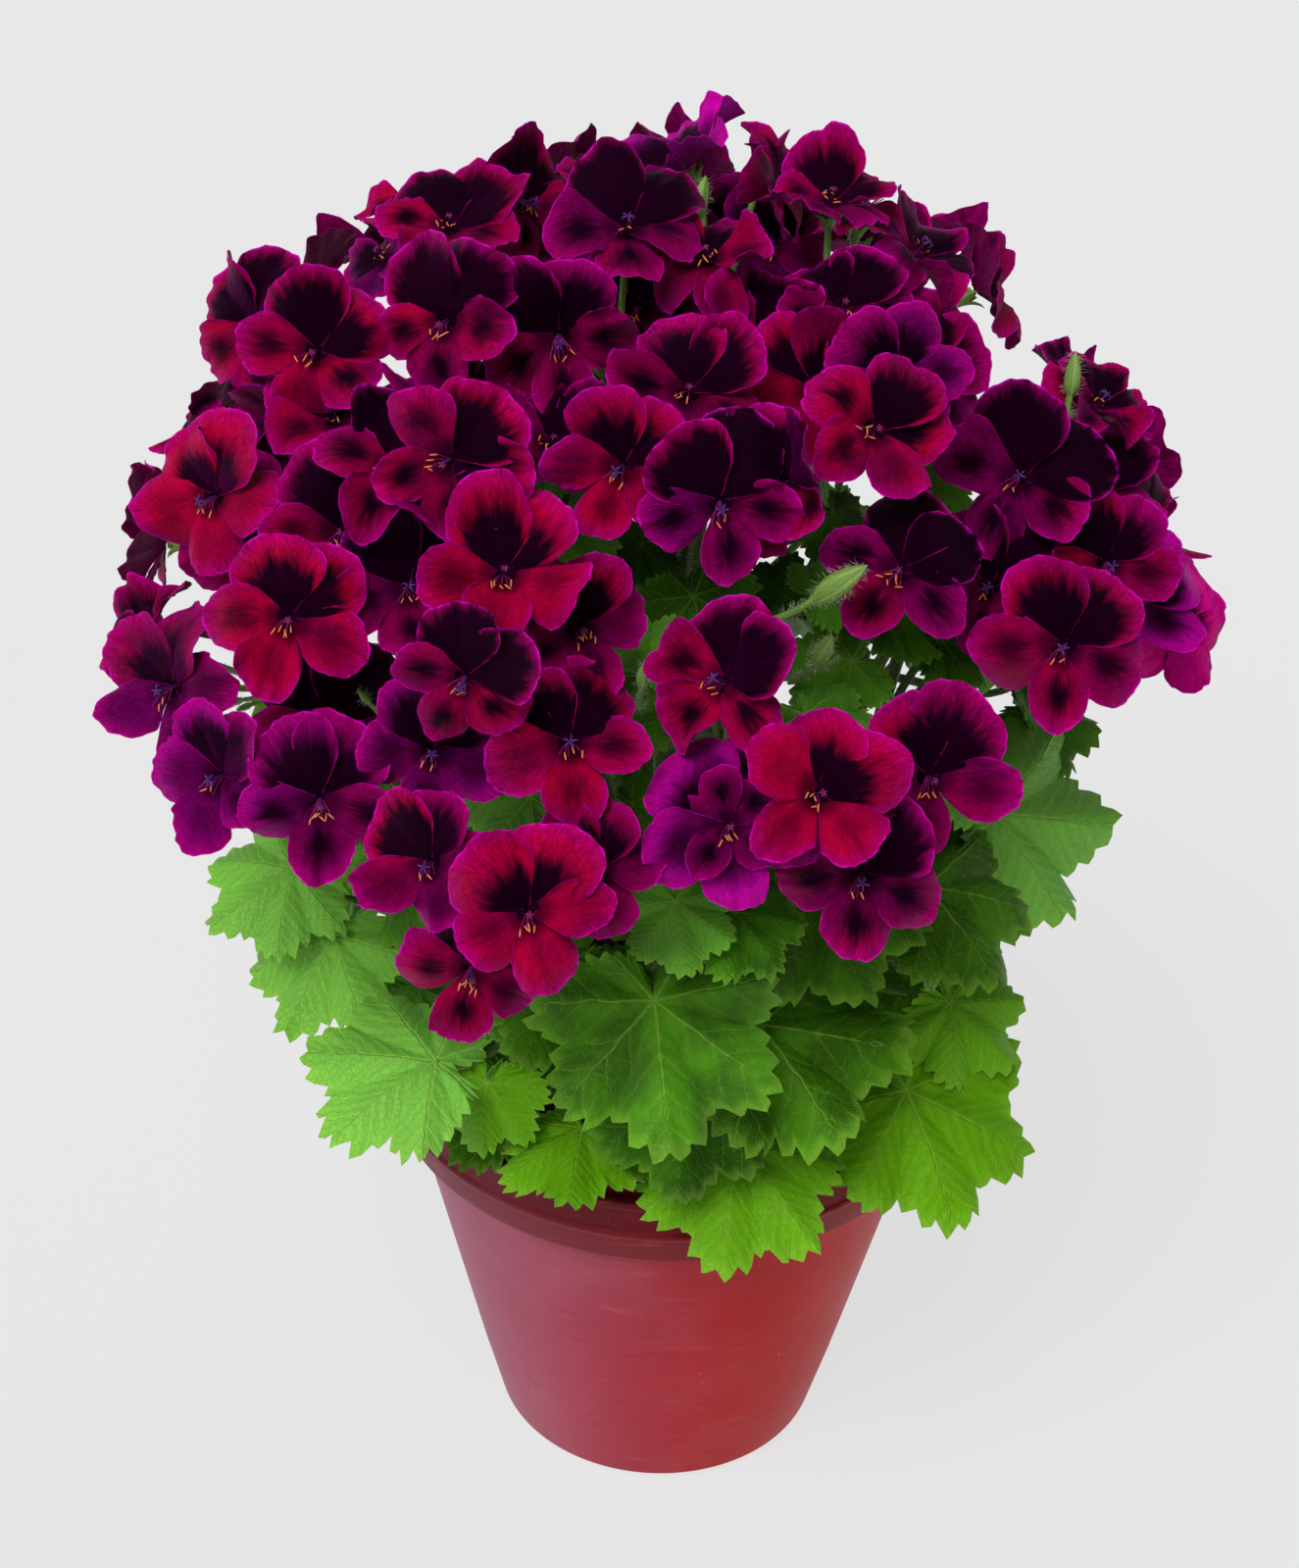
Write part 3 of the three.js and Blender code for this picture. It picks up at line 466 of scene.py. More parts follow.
def add_hairs(stock, roots, normals, length, width, rng, lean=0.35):
    """Fine tapering hairs that stand on a surface."""
    n = len(roots)
    heading = unit_rows(normals + lean * rng.normal(size=(n, 3)))
    side = unit_rows(np.cross(heading, rng.normal(size=(n, 3))))
    other = np.cross(heading, side)
    reach = length * rng.uniform(0.5, 1.15, size=(n, 1))
    base = roots - 0.15 * heading
    corners = [base + width * (side * math.cos(a) + other * math.sin(a)) for a in (0, 2.094, 4.189)]
    points = np.stack([*corners, base + heading * reach], axis=1).reshape(-1, 3)
    first = 4 * np.arange(n)[:, None]
    faces = np.concatenate([first + f for f in ([0, 1, 3], [1, 2, 3], [2, 0, 3], [2, 1, 0])])
    tip = np.tile([0, 0, 0, 1.0], n)
    stock.add(points, [faces], place=np.stack([tip, tip * 0, tip * 0], axis=1))


def hairs_along(stock, path, radius, count, length, rng, width=0.065):
    """Hairs all round a stalk."""
    path = np.asarray(path, float)
    _, x, y = path_frames(path)
    t = rng.uniform(0, len(path) - 1.001, size=count)
    i = t.astype(int)
    f = (t - i)[:, None]
    a = rng.uniform(0, 2 * np.pi, size=(count, 1))
    normal = np.cos(a) * x[i] + np.sin(a) * y[i]
    add_hairs(stock, path[i] * (1 - f) + path[i + 1] * f + normal * radius, normal, length, width, rng)


# ---- materials ----
class Signal:
    """A value in a node tree; the sums written with it place the nodes that work them out."""

    def __init__(self, paint, socket):
        self.paint, self.socket = paint, socket

    def __add__(self, other):
        return self.paint.math("ADD", self, other)

    def __radd__(self, other):
        return self.paint.math("ADD", other, self)

    def __sub__(self, other):
        return self.paint.math("SUBTRACT", self, other)

    def __rsub__(self, other):
        return self.paint.math("SUBTRACT", other, self)

    def __mul__(self, other):
        return self.paint.math("MULTIPLY", self, other)

    def __truediv__(self, other):
        return self.paint.math("DIVIDE", self, other)

    def clamped(self, scale=1.0):
        return self.paint.math("MULTIPLY", self, scale, clamp=True)


class Paint:
    """Places and joins the nodes of a material or a node group."""

    def __init__(self, tree):
        self.tree = tree

    def node(self, kind, inputs, **settings):
        node = self.tree.nodes.new(kind)
        for key, value in settings.items():
            setattr(node, key, value)
        for key, value in inputs.items():
            self.feed(node.inputs[key], value)
        return node

    def feed(self, socket, value):
        if isinstance(value, Signal):
            self.tree.links.new(value.socket, socket)
        else:
            socket.default_value = value

    def result(self, kind, inputs, output=0, **settings):
        """One output of a new node."""
        return Signal(self, self.node(kind, inputs, **settings).outputs[output])

    def finish(self, **inputs):
        """Feeds the shader of a material."""
        shader = self.tree.nodes["Principled BSDF"]
        for key, value in inputs.items():
            self.feed(shader.inputs[key.replace("_", " ")], value)

    def math(self, operation, *values, clamp=False):
        return self.result("ShaderNodeMath", dict(enumerate(values)), operation=operation, use_clamp=clamp)

    def fade(self, value, low, high):
        """0 below low and 1 above high, or the other way round if low is larger."""
        flip = low > high
        limits = {1: min(low, high), 2: max(low, high), 3: float(flip), 4: float(not flip)}
        return self.result("ShaderNodeMapRange", {0: value, **limits}, interpolation_type="SMOOTHSTEP")

    def blend(self, factor, a, b):
        return self.result("ShaderNodeMix", {0: factor, 6: a, 7: b}, 2, data_type="RGBA")

    def layered(self, colour, *layers):
        """A colour with others laid over it in turn, each as strongly as its factor says."""
        for factor, over in layers:
            colour = self.blend(factor, colour, over)
        return colour

    def parts(self, vector):
        return [Signal(self, s) for s in self.node("ShaderNodeSeparateXYZ", {0: vector}).outputs]

    def kept(self, name):
        """A surface value kept on the mesh: the whole of it, and its x, y and z."""
        vector = self.result("ShaderNodeAttribute", {}, "Vector", attribute_name=name)
        return vector, *self.parts(vector)

    def here(self):
        """Where on the plant a point lies, in metres."""
        return self.result("ShaderNodeTexCoord", {}, "Object")

    def vector(self, x, y, z):
        return self.result("ShaderNodeCombineXYZ", {0: x, 1: y, 2: z})

    def vector_math(self, operation, inputs, output=0):
        return self.result("ShaderNodeVectorMath", inputs, output, operation=operation)

    def noise(self, at, scale, detail=2.0, roughness=0.5):
        given = {"Vector": at, "Scale": scale, "Detail": detail, "Roughness": roughness}
        return self.result("ShaderNodeTexNoise", given)

    def cells(self, at, scale, feature):
        given = {"Vector": at, "Scale": scale}
        return self.result("ShaderNodeTexVoronoi", given, "Distance", feature=feature)

    def group(self, tree, **inputs):
        given = {key.replace("_", " "): value for key, value in inputs.items()}
        return {s.name: Signal(self, s) for s in self.node("ShaderNodeGroup", given, node_tree=tree).outputs}

    def relief(self, height, strength, distance):
        return self.result("ShaderNodeBump", {"Height": height, "Strength": strength, "Distance": distance})


def rgb(r, g, b):
    """A colour given as it looks on screen, 0 to 255, in the linear values that shaders take."""
    linear = [c / 255 / 12.92 if c <= 10 else ((c / 255 + 0.055) / 1.055) ** 2.4 for c in (r, g, b)]
    return (*linear, 1.0)


def material(name, **finish):
    """A new material with its fixed finish, and a Paint for the rest."""
    made = bpy.data.materials.new(name)
    made.use_nodes = True
    paint = Paint(made.node_tree)
    paint.finish(**finish)
    return made, paint


def node_group(name, inputs, outputs):
    """A new node group, a Paint for it, and what it is given."""
    tree = bpy.data.node_groups.new(name, "ShaderNodeTree")
    for label, (kind, value) in inputs.items():
        socket = tree.interface.new_socket(label, in_out="INPUT", socket_type=kind)
        if value is not None:
            socket.default_value = value
    for label, kind in outputs.items():
        tree.interface.new_socket(label, in_out="OUTPUT", socket_type=kind)
    paint = Paint(tree)
    return tree, paint, {s.name: Signal(paint, s) for s in paint.node("NodeGroupInput", {}).outputs}


FLOAT, VECTOR, COLOUR = "NodeSocketFloat", "NodeSocketVector", "NodeSocketColor"


def soft_mottle_group():
    """Slow and fast changes of shade over a surface, and a fine grain for its relief."""
    tree, p, given = node_group("soft_mottle", {
        "Colour": (COLOUR, None), "Scale": (FLOAT, 60.0), "Depth": (FLOAT, 0.2), "Grain": (FLOAT, 900.0)},
        {"Colour": COLOUR, "Grain": FLOAT})
    at = p.here()
    fast = p.noise(at, given["Grain"], 2.0)
    change = (p.noise(at, given["Scale"], 3.0) * 1.4 + fast * 0.6 - 1.0) * given["Depth"]
    colour = p.vector_math("SCALE", {0: given["Colour"], "Scale": change + 1.0})
    p.node("NodeGroupOutput", {"Colour": colour, "Grain": fast})
    return tree


def inner_shade_group():
    """Deeper colour towards the middle of the plant, where little light gets in."""
    tree, p, given = node_group(
        "inner_shade", {"Colour": (COLOUR, None), "Depth": (FLOAT, 0.6)}, {"Colour": COLOUR})
    off = p.vector_math("ADD", {0: p.here(), 1: tuple(0 - CROWN * MM)})
    far = p.vector_math("LENGTH", {0: off}, "Value")
    light = 1.0 - p.fade(far, 0.145, 0.07) * given["Depth"]
    p.node("NodeGroupOutput", {"Colour": p.vector_math("SCALE", {0: given["Colour"], "Scale": light})})
    return tree


def palmate_veins_group():
    """Veins of a leaf from its own plan: one to each lobe from the stalk, side veins off them, and a net."""
    tree, p, given = node_group(
        "palmate_veins", {"Plan": (VECTOR, None), "Lobe Angle": (FLOAT, LOBE_ANGLE)},
        {"Main": FLOAT, "Side": FLOAT, "Net": FLOAT, "Between": FLOAT})
    x, y, _ = p.parts(given["Plan"])
    x = p.math("ABSOLUTE", x)
    r = p.math("SQRT", x * x + y * y)
    wobble = (p.noise(given["Plan"], 5.0, 2.0) - 0.5) * 9.0
    a = p.math("ABSOLUTE", p.math("DEGREES", p.math("ARCTAN2", x, y)) + wobble)
    half = given["Lobe Angle"] * 0.5
    off = p.math("RADIANS", p.math("PINGPONG", a, half))
    side = p.math("MODULO", p.math("FLOOR", a / half), 2.0)
    along, across = r * p.math("COSINE", off), r * p.math("SINE", off)
    main = p.math("SUBTRACT", 1.0, across / ((1.4 - r) * 0.016), clamp=True)
    step = (along - across * 1.1) / 0.27 + side * 0.5
    near = p.math("ABSOLUTE", p.math("FRACT", step) - 0.5)
    branch = p.math("SUBTRACT", 1.0, near / (0.03 + (0.3 - across) * 0.1), clamp=True)
    p.node("NodeGroupOutput", {
        "Main": main, "Side": branch * p.fade(across, 0.36, 0.2) * p.fade(r, 0.16, 0.3),
        "Net": p.fade(p.cells(given["Plan"], 16.0, "DISTANCE_TO_EDGE"), 0.09, 0.0),
        "Between": p.fade(p.math("ABSOLUTE", near - 0.25), 0.25, 0.0)})
    return tree


def petal_streaks_group():
    """Fine rays that run outward along a petal, broken up as they go."""
    tree, p, given = node_group("petal_streaks", {"Place": (VECTOR, None), "Seed": (FLOAT, 0.0)},
                                {"Fine": FLOAT, "Broad": FLOAT, "Lines": FLOAT})
    u, v, _ = p.parts(given["Place"])
    at = p.vector(u * 9.0, v * 1.6, given["Seed"])
    narrow = p.vector_math("MULTIPLY", {0: at, 1: (1.0, 0.5, 1.0)})
    p.node("NodeGroupOutput", {"Fine": p.noise(at, 3.4, 3.0, 0.6), "Lines": p.noise(narrow, 13.0, 2.0, 0.6),
                               "Broad": p.noise(at, 1.0, 2.0, 0.5)})
    return tree


mottle = soft_mottle_group()
shade = inner_shade_group()
veins = palmate_veins_group()
streaks = petal_streaks_group()


def petal_velvet():
    """Crimson velvet with a near-black blotch that feathers out in rays, and a thin violet rim that is
    partly painted backlight; some blooms carry painted light, others painted shade.
    """
    made, p = material("petal_velvet", Roughness=0.6, Specular_IOR_Level=0.12,
                       Specular_Tint=(0.8, 0.02, 0.4, 1), Sheen_Weight=0.17, Sheen_Roughness=0.3,
                       Sheen_Tint=(0.9, 0.0, 0.55, 1))
    place, u, v, lower = p.kept("place")
    _, blotch, purple, under = p.kept("tone")
    lines = p.group(streaks, Place=place, Seed=blotch * 40.0)
    fine, broad = lines["Fine"], lines["Broad"]
    at = p.here()
    painted_glow = p.math("SUBTRACT", purple, 1.0, clamp=True)
    flat = p.layered(
        p.blend(p.fade(p.noise(at, 42.0, 3.0), 0.34, 0.66), rgb(164, 0, 44), rgb(104, 0, 48)),
        # violet: partly the blooms' own violet, partly painted backlight
        (purple.clamped(), rgb(84, 0, 74)),
        # painted light: the glowing blooms lit violet to magenta towards their tips
        (painted_glow * p.fade(v, 0.4, 0.9), rgb(206, 8, 176)),
        # painted light: the bright blooms lit red
        (purple.clamped(-0.9), rgb(176, 0, 50)),
        # painted light: the pink blooms lit pink
        (p.math("SUBTRACT", -1.0, purple, clamp=True), rgb(226, 4, 150)),
        (p.fade(v, 0.7, 1.0) * 0.6, rgb(164, 0, 112)),
        (p.fade(fine, 0.5, 0.75) * 0.4, rgb(66, 0, 34)),
        (p.fade(lines["Lines"], 0.5, 0.64) * 0.5, rgb(60, 0, 32)),
        (p.fade(lines["Lines"], 0.46, 0.32) * 0.38, rgb(204, 8, 104)))
    reach = v + ((fine - 0.5) * 0.24 + (broad - 0.5) * 0.45)
    side = p.math("POWER", p.math("ABSOLUTE", u), 4.0) * 0.22
    big = p.fade(reach + side - blotch * 0.67, 0.3, -0.06)
    along, aside = (reach - 0.48) / 0.3, u / 0.4
    spot = p.fade(p.math("SQRT", along * along + aside * aside), 1.35, 0.2) * p.fade(blotch, 0.4, 1.05)
    small = p.math("MAXIMUM", spot, p.fade(v, 0.34, 0.08) * 0.75)
    dark = big * (1.0 - lower) + small * lower
    back = p.blend(p.fade(fine, 0.35, 0.7), rgb(128, 2, 84), rgb(70, 0, 48))
    colour = p.layered(
        flat, (dark.clamped(), p.blend(fine, rgb(3, 0, 6), rgb(20, 0, 18))),
        # the thin violet rim: partly the petal's own edge colour, partly painted backlight along lit edges
        (p.fade(v, 0.95, 1.0) * p.fade(broad, 0.36, 0.62) * 0.8, rgb(206, 12, 178)),
        # painted light: the undersides of the glowing blooms lit magenta
        (under * 0.85, p.blend(painted_glow, back, rgb(178, 20, 160))))
    skin = p.group(mottle, Colour=colour, Scale=260.0, Depth=0.3, Grain=1900.0)
    height = fine + lines["Lines"] * 0.8 + p.noise(at, 1600.0, 1.0) * 0.4
    p.finish(Base_Color=p.group(shade, Colour=skin["Colour"], Depth=0.5)["Colour"],
             Normal=p.relief(height, 0.6, 0.0005), Roughness=0.5 + fine * 0.2)
    return made


def leaf_blade():
    """Fresh green blade with paler veins, a puckered surface between them, and a pale underside."""
    made, p = material("leaf_blade", Roughness=0.5, Specular_IOR_Level=0.2, Specular_Tint=(0.8, 1, 0.4, 1))
    place, _, _, under = p.kept("place")
    _, light, yellow, edge = p.kept("tone")
    found = p.group(veins, Plan=place)
    at = p.here()
    cloudy = p.noise(at, 55.0, 3.0)
    spots = p.fade(p.cells(at, 70.0, "F1"), 0.13, 0.05) * p.fade(p.noise(at, 21.0), 0.6, 0.68)
    green = p.layered(
        p.blend(p.fade(cloudy, 0.3, 0.7), rgb(16, 66, 2), rgb(70, 142, 8)),
        # painted shade on the shaded leaves, painted light on the lit ones
        (light.clamped(-1.0), rgb(12, 44, 4)),
        (light, rgb(138, 212, 84)),
        (yellow, rgb(116, 184, 0)),
        (p.fade(found["Between"], 0.3, 0.9) * 0.12, rgb(24, 80, 2)),
        (p.fade(edge, 0.86, 1.0) * 0.3, rgb(140, 190, 60)),
        (found["Net"] * 0.12, rgb(130, 190, 60)),
        (found["Side"] * 0.22, rgb(140, 196, 66)),
        (found["Main"] * 0.45, rgb(160, 206, 80)),
        (spots * 0.7, rgb(116, 78, 30)))
    back = p.blend(found["Main"], rgb(132, 172, 104), rgb(176, 206, 142))
    sunk = found["Main"] * -1.0 + found["Side"] * -0.35
    height = sunk + found["Between"] * 0.25 + (found["Net"] * -0.3 + p.noise(at, 700.0) * 0.35)
    p.finish(Base_Color=p.group(shade, Colour=p.blend(under, green, back), Depth=0.6)["Colour"],
             Normal=p.relief(height, 0.7, 0.0007), Roughness=0.36 + cloudy * 0.25)
    return made


def green_stalk():
    """Stalks, calyces and buds: green ridged skin, redder, browner or paler where tone says so."""
    made, p = material("green_stalk", Roughness=0.55, Specular_IOR_Level=0.35)
    _, _, around, _ = p.kept("place")
    _, red, brown, pale = p.kept("tone")
    ribs = p.math("SINE", around * 7.0)
    colour = p.layered(
        p.blend(pale, rgb(72, 118, 26), rgb(140, 174, 84)),
        (red, rgb(110, 44, 34)),
        (brown, rgb(92, 74, 42)),
        (p.fade(ribs, 0.2, 1.0) * 0.25, rgb(168, 188, 112)))
    skin = p.group(mottle, Colour=colour, Scale=140.0, Depth=0.35, Grain=1500.0)
    p.finish(Base_Color=p.group(shade, Colour=skin["Colour"], Depth=0.65)["Colour"],
             Normal=p.relief(ribs * 0.4 + skin["Grain"], 0.5, 0.0003))
    return made


def flower_heart():
    """Filaments, anthers and stigma in the colour kept on the mesh, lightly powdered."""
    made, p = material("flower_heart", Roughness=0.5, Specular_IOR_Level=0.4)
    skin = p.group(mottle, Colour=p.kept("tone")[0], Scale=500.0, Depth=0.5, Grain=4000.0)
    p.finish(Base_Color=skin["Colour"], Normal=p.relief(skin["Grain"], 0.4, 0.0002))
    return made


def white_hair():
    """Fine pale hairs, greener at the root."""
    made, p = material("white_hair", Roughness=0.45, Specular_IOR_Level=0.5)
    base = p.blend(p.kept("place")[1], rgb(150, 178, 120), rgb(226, 232, 214))
    p.finish(Base_Color=p.group(mottle, Colour=base, Scale=200.0, Depth=0.2, Grain=900.0)["Colour"])
    return made


def pot_plastic():
    """Terracotta-red moulded plastic: faint rings from the mould, scuffs, specks and dusty patches, with a
    painted mauve sheen on the left, painted brighter red on the right and painted shade on the rim bands.
    """
    made, p = material("pot_plastic", Roughness=0.42, Specular_IOR_Level=0.16,
                       Specular_Tint=(1, 0.5, 0.5, 1))
    at = p.here()
    x, _, z = p.parts(at)
    dust_and_sheen = p.noise(at, 17.0, 4.0, 0.6)
    red = p.layered(
        # painted light: the right side of the pot redder and brighter
        p.blend(p.fade(x, -0.02, 0.075), rgb(160, 8, 11), rgb(186, 8, 9)),
        # painted reflection: a pale mauve sheen over the left side, broken up by the dust noise
        (p.fade(x, 0.04, -0.1) * (0.45 + dust_and_sheen * 0.7), rgb(150, 90, 120)),
        (p.fade(z, 0.131, 0.134) * 0.75, rgb(96, 10, 14)),       # painted shade of the leaves on the band above the shoulder
        (p.fade(z, 0.145, 0.1465) * 0.36, rgb(64, 6, 12)))       # painted shade of the leaves on the rim above the ridge
    skin = p.group(mottle, Colour=red, Scale=24.0, Depth=0.14, Grain=1100.0)
    scuffs = p.noise(p.vector_math("MULTIPLY", {0: at, 1: (1.0, 1.0, 8.0)}), 46.0, 4.0, 0.7)
    specks = p.fade(p.cells(at, 150.0, "F1"), 0.12, 0.04) * p.fade(p.noise(at, 47.0), 0.6, 0.66)
    colour = p.layered(
        skin["Colour"], (p.fade(dust_and_sheen, 0.48, 0.75) * 0.14, rgb(176, 112, 116)),
        (p.fade(scuffs, 0.56, 0.76) * 0.35, rgb(186, 92, 92)),
        (p.fade(scuffs, 0.44, 0.28) * 0.3, rgb(96, 14, 22)),
        (specks * 0.55, rgb(206, 150, 140)))
    rings = p.noise(p.vector(0.0, 0.0, z), 420.0, 2.0)
    p.finish(Base_Color=colour, Roughness=0.36 + dust_and_sheen * 0.2,
             Normal=p.relief(rings * 0.5 + skin["Grain"] * 0.5, 0.25, 0.0003))
    return made


def potting_soil():
    """Dark damp peat with brown fibres and paler crumbs."""
    made, p = material("potting_soil", Roughness=0.95, Specular_IOR_Level=0.2)
    clods = p.noise(p.here(), 160.0, 5.0, 0.7)
    dark = p.blend(p.fade(clods, 0.35, 0.7), rgb(26, 17, 12), rgb(70, 48, 34))
    colour = p.blend(p.kept("tone")[1], dark, rgb(176, 160, 138))
    skin = p.group(mottle, Colour=colour, Scale=300.0, Depth=0.5, Grain=2400.0)
    p.finish(Base_Color=skin["Colour"], Normal=p.relief(clods + skin["Grain"] * 0.3, 1.0, 0.002))
    return made


velvet, blade_green, stalk_green = petal_velvet(), leaf_blade(), green_stalk()
heart_paint, hair_white, plastic, peat = flower_heart(), white_hair(), pot_plastic(), potting_soil()


# ---- pot and soil ----
def lathe(profile, sides):
    """A closed body turned about the Z axis from a profile that starts and ends on the axis."""
    inner = np.array(profile[1:-1], float)
    a = circle(sides)
    z = np.repeat(inner[:, 1:], sides, 1)
    rings = np.stack([inner[:, :1] * np.cos(a), inner[:, :1] * np.sin(a), z], axis=2)
    points = np.concatenate([rings.reshape(-1, 3), [[0, 0, profile[0][1]], [0, 0, profile[-1][1]]]])
    return points, closed_faces(len(inner), sides)


def eased(profile, radius=0.6):
    """A profile with its corners rounded."""
    line = [np.array([r, 0, z], float) for r, z in profile]
    return [(x, z) for x, _, z in rounded(line, radius, 4)]


def pot_profile():
    """The outline of the pot in radius and height: up the outside, over the lip and down the inside."""
    base, shoulder, ridge, rim, lip = (POT[key] for key in ("base", "shoulder", "ridge", "rim", "lip"))
    shoulder_z, ridge_z, rim_z, lip_z = (POT[key] for key in ("shoulder_z", "ridge_z", "rim_z", "lip_z"))

    def inner(z):
        return base + (shoulder - base) * z / shoulder_z - POT["wall"]

    outside = [(0, 0), (30, 0), (50, 0), (53.5, 0), (base, 2.5)]
    outside += [(inner(z) + POT["wall"], z) for z in (30, 60, 90, 115)]
    outside += [(shoulder, shoulder_z), (POT["band"], shoulder_z + 0.5), (ridge - 0.6, ridge_z - 2.2),
                (ridge, ridge_z - 1.4), (ridge, ridge_z), (rim - 0.5, ridge_z + 0.8),
                (rim - 0.3, rim_z - 3), (rim, rim_z - 2.4), (rim, rim_z), (lip + 1.6, rim_z)]
    inside = [(lip + 1.2, rim_z - 2.4), (lip, rim_z - 2.4), (lip - 0.4, lip_z), (lip - 2.2, lip_z),
              (lip - 2.9, 146), (inner(shoulder_z), shoulder_z - 2), (inner(60), 60),
              (inner(POT["floor"]), POT["floor"]), (0, POT["floor"])]
    return outside + inside


def pot_body():
    """The pot, turned from its outline, with its drain holes cut through the floor."""
    stock = Stock()
    stock.add(*lathe(eased(pot_profile()), 144))
    pot = stock.piece("flower_pot", plastic, "pot_plastic", ["pot"], crisp=0)
    holes = Stock()
    for a in circle(POT["drains"]):
        middle = np.array([math.cos(a), math.sin(a), 0]) * POT["drain_ring"]
        holes.add(*tube([middle - 6 * UP, middle + 6 * UP], POT["drain_radius"], 28)[:2])
    cutter = holes.piece("drain_cutter", plastic, "pot_plastic", [], crisp=0)
    cut = pot.modifiers.new("drains", "BOOLEAN")
    cut.object, cut.solver = cutter, "EXACT"
    bpy.context.view_layer.update()
    mesh = bpy.data.meshes.new_from_object(pot.evaluated_get(bpy.context.evaluated_depsgraph_get()))
    pot.modifiers.clear()
    pot.data = mesh
    bpy.data.objects.remove(cutter)
    mesh.set_sharp_from_angle(angle=math.radians(38))


def crumb(rng, at, size):
    """An uneven grain of peat, bark or perlite."""
    shape = bmesh.new()
    bmesh.ops.create_icosphere(shape, subdivisions=1, radius=1)
    points = np.array([v.co[:] for v in shape.verts])
    faces = np.array([[v.index for v in f.verts] for f in shape.faces])
    shape.free()
    points *= rng.uniform(0.6, 1.2, size=(len(points), 1)) * size * rng.uniform(0.6, 1.3, size=3)
    return points @ facing(unit(rng.normal(size=3)), 0) + at, [faces]


def soil_height(r, sunk):
    """Height of the soil at a share r of its radius; it is highest in the middle."""
    return SOIL["crown_z"] - sunk - (SOIL["crown_z"] - SOIL["edge_z"]) * r ** 2


def soil_body():
    """The bed of soil with its lumpy top, and crumbs strewn over it."""
    rng = draws("soil")
    reach = POT["shoulder"] - POT["wall"] - GAP - 0.6
    rings, spokes = 26, 110
    r = np.linspace(0, 1, rings)[:, None]
    a = circle(spokes)
    x, y = reach * r * np.cos(a), reach * r * np.sin(a)
    lumps = sum(np.sin(x * fx + px) * np.sin(y * fy + py) * s for fx, fy, px, py, s in
                [(0.21, 0.18, 1, 2, 0.6), (0.47, 0.53, 0, 1, 0.4), (1.1, 0.97, 2, 0, 0.3)])
    z = soil_height(r, 1.2) + lumps * np.minimum(1, 3 * r)
    z = z + rng.normal(0, 0.28, size=z.shape) * np.minimum(1, 6 * r)
    top = np.stack([x, y, z], axis=2)
    side = [(POT["shoulder_z"] - 3, reach - 0.4), (POT["floor"] + GAP, POT["base"] - POT["wall"] - 1.6)]
    walls = [np.stack([q * np.cos(a), q * np.sin(a), np.full(spokes, h)], axis=1) for h, q in side]
    grid = np.concatenate([top[1:], np.array(walls)])
    stock = Stock()
    stock.add(np.concatenate([grid.reshape(-1, 3), top[0, :1], [[0, 0, POT["floor"] + GAP]]]),
              closed_faces(len(grid), spokes, downward=True))
    for _ in range(CRUMBS):
        q, b = reach * math.sqrt(rng.uniform(0, 0.97)), rng.uniform(0, 2 * math.pi)
        pale = 0.9 if rng.random() < 0.05 else rng.uniform(0, 0.15)
        at = np.array([q * math.cos(b), q * math.sin(b), soil_height(q / reach, 1.0)])
        stock.add(*crumb(rng, at, rng.uniform(0.7, 1.9)), tone=(pale, 0, 0))
    stock.piece("soil_bed", peat, "potting_soil", ["soil"], crisp=70)


# ---- blooms ----
UPPER = dict(tip=1.12, middle=0.64, width=0.61)
LOWER = dict(tip=1.06, middle=0.64, width=0.43)
CLAW = 0.05
FIFTH = 72                            # degrees from one petal to the next
UPPER_PAIR = (0, 4)
FOLDED_SHARE = 0.22                   # how many petals are folded lengthwise
SECOND_RING, SECOND_SIZE = (0.5, 1.4, 2.5, 3.6, 4.5), 0.66    # the small petals of a double bloom
PEDICEL_RINGS = 7
USUAL_HALF = 22                       # half the width of a usual bloom
PETAL_SHIFT = (-5, -3, 0, 3, 5)       # degrees: the upper pair stands closer together
PETAL_ROWS, PETAL_COLUMNS = 9, 45


def petal_grid(rng, outline, half, cup, ruffle):
    """A petal's surface, rows outward from the claw, with how far across and how far out each point lies."""
    b = outline["tip"] - outline["middle"]
    widest = math.acos(-b / (outline["middle"] - CLAW))
    theta = np.linspace(-1, 1, PETAL_COLUMNS) * widest
    phase = rng.uniform(0, 2 * math.pi, size=5)
    rough = 1 + 0.045 * np.sin(2.2 * theta + phase[0]) + 0.012 * np.sin(6.5 * theta + phase[1]) \
        + 0.007 * np.sin(17 * theta + phase[4]) + rng.normal(0, 0.002, PETAL_COLUMNS)
    across = outline["width"] * rng.uniform(0.88, 1.08) * np.sin(theta) * rough
    along = CLAW + (outline["middle"] - CLAW + b * np.cos(theta)) * rough
    outward = np.linspace(0, 1, PETAL_ROWS)[:, None]
    s = outward ** 0.85
    ac, al = across * (0.16 + 0.84 * s), CLAW + (along - CLAW) * s
    z = cup * al * (1.35 - 0.55 * al) - 0.16 * ac
    trough, twist, lean = rng.normal(-0.03, 0.17), rng.normal(0, 0.22), rng.normal(0, 0.1)
    roll = rng.normal(-0.1, 0.22)
    if rng.random() < FOLDED_SHARE:
        trough += rng.choice([-1, 1]) * rng.uniform(0.3, 0.6)
    z = z + lean * al + trough * (ac / outline["width"]) ** 2 * al + twist * ac * al
    z = z + roll * np.clip((al - 0.45) / 0.55, 0, 1) ** 2 - 0.05 * np.exp(-(ac / 0.07) ** 2) * al
    z = z + ruffle * s ** 3 * np.sin(rng.uniform(2.6, 4.6) * theta + phase[2])
    z = z + 0.35 * ruffle * s ** 5 * np.sin(rng.uniform(9, 12) * theta + phase[3])
    u = np.broadcast_to(np.linspace(-1, 1, PETAL_COLUMNS), ac.shape)
    grid = np.stack([ac, al, z], axis=2) * half * rng.uniform(0.9, 1.03)
    return grid, u, np.broadcast_to(outward, ac.shape)


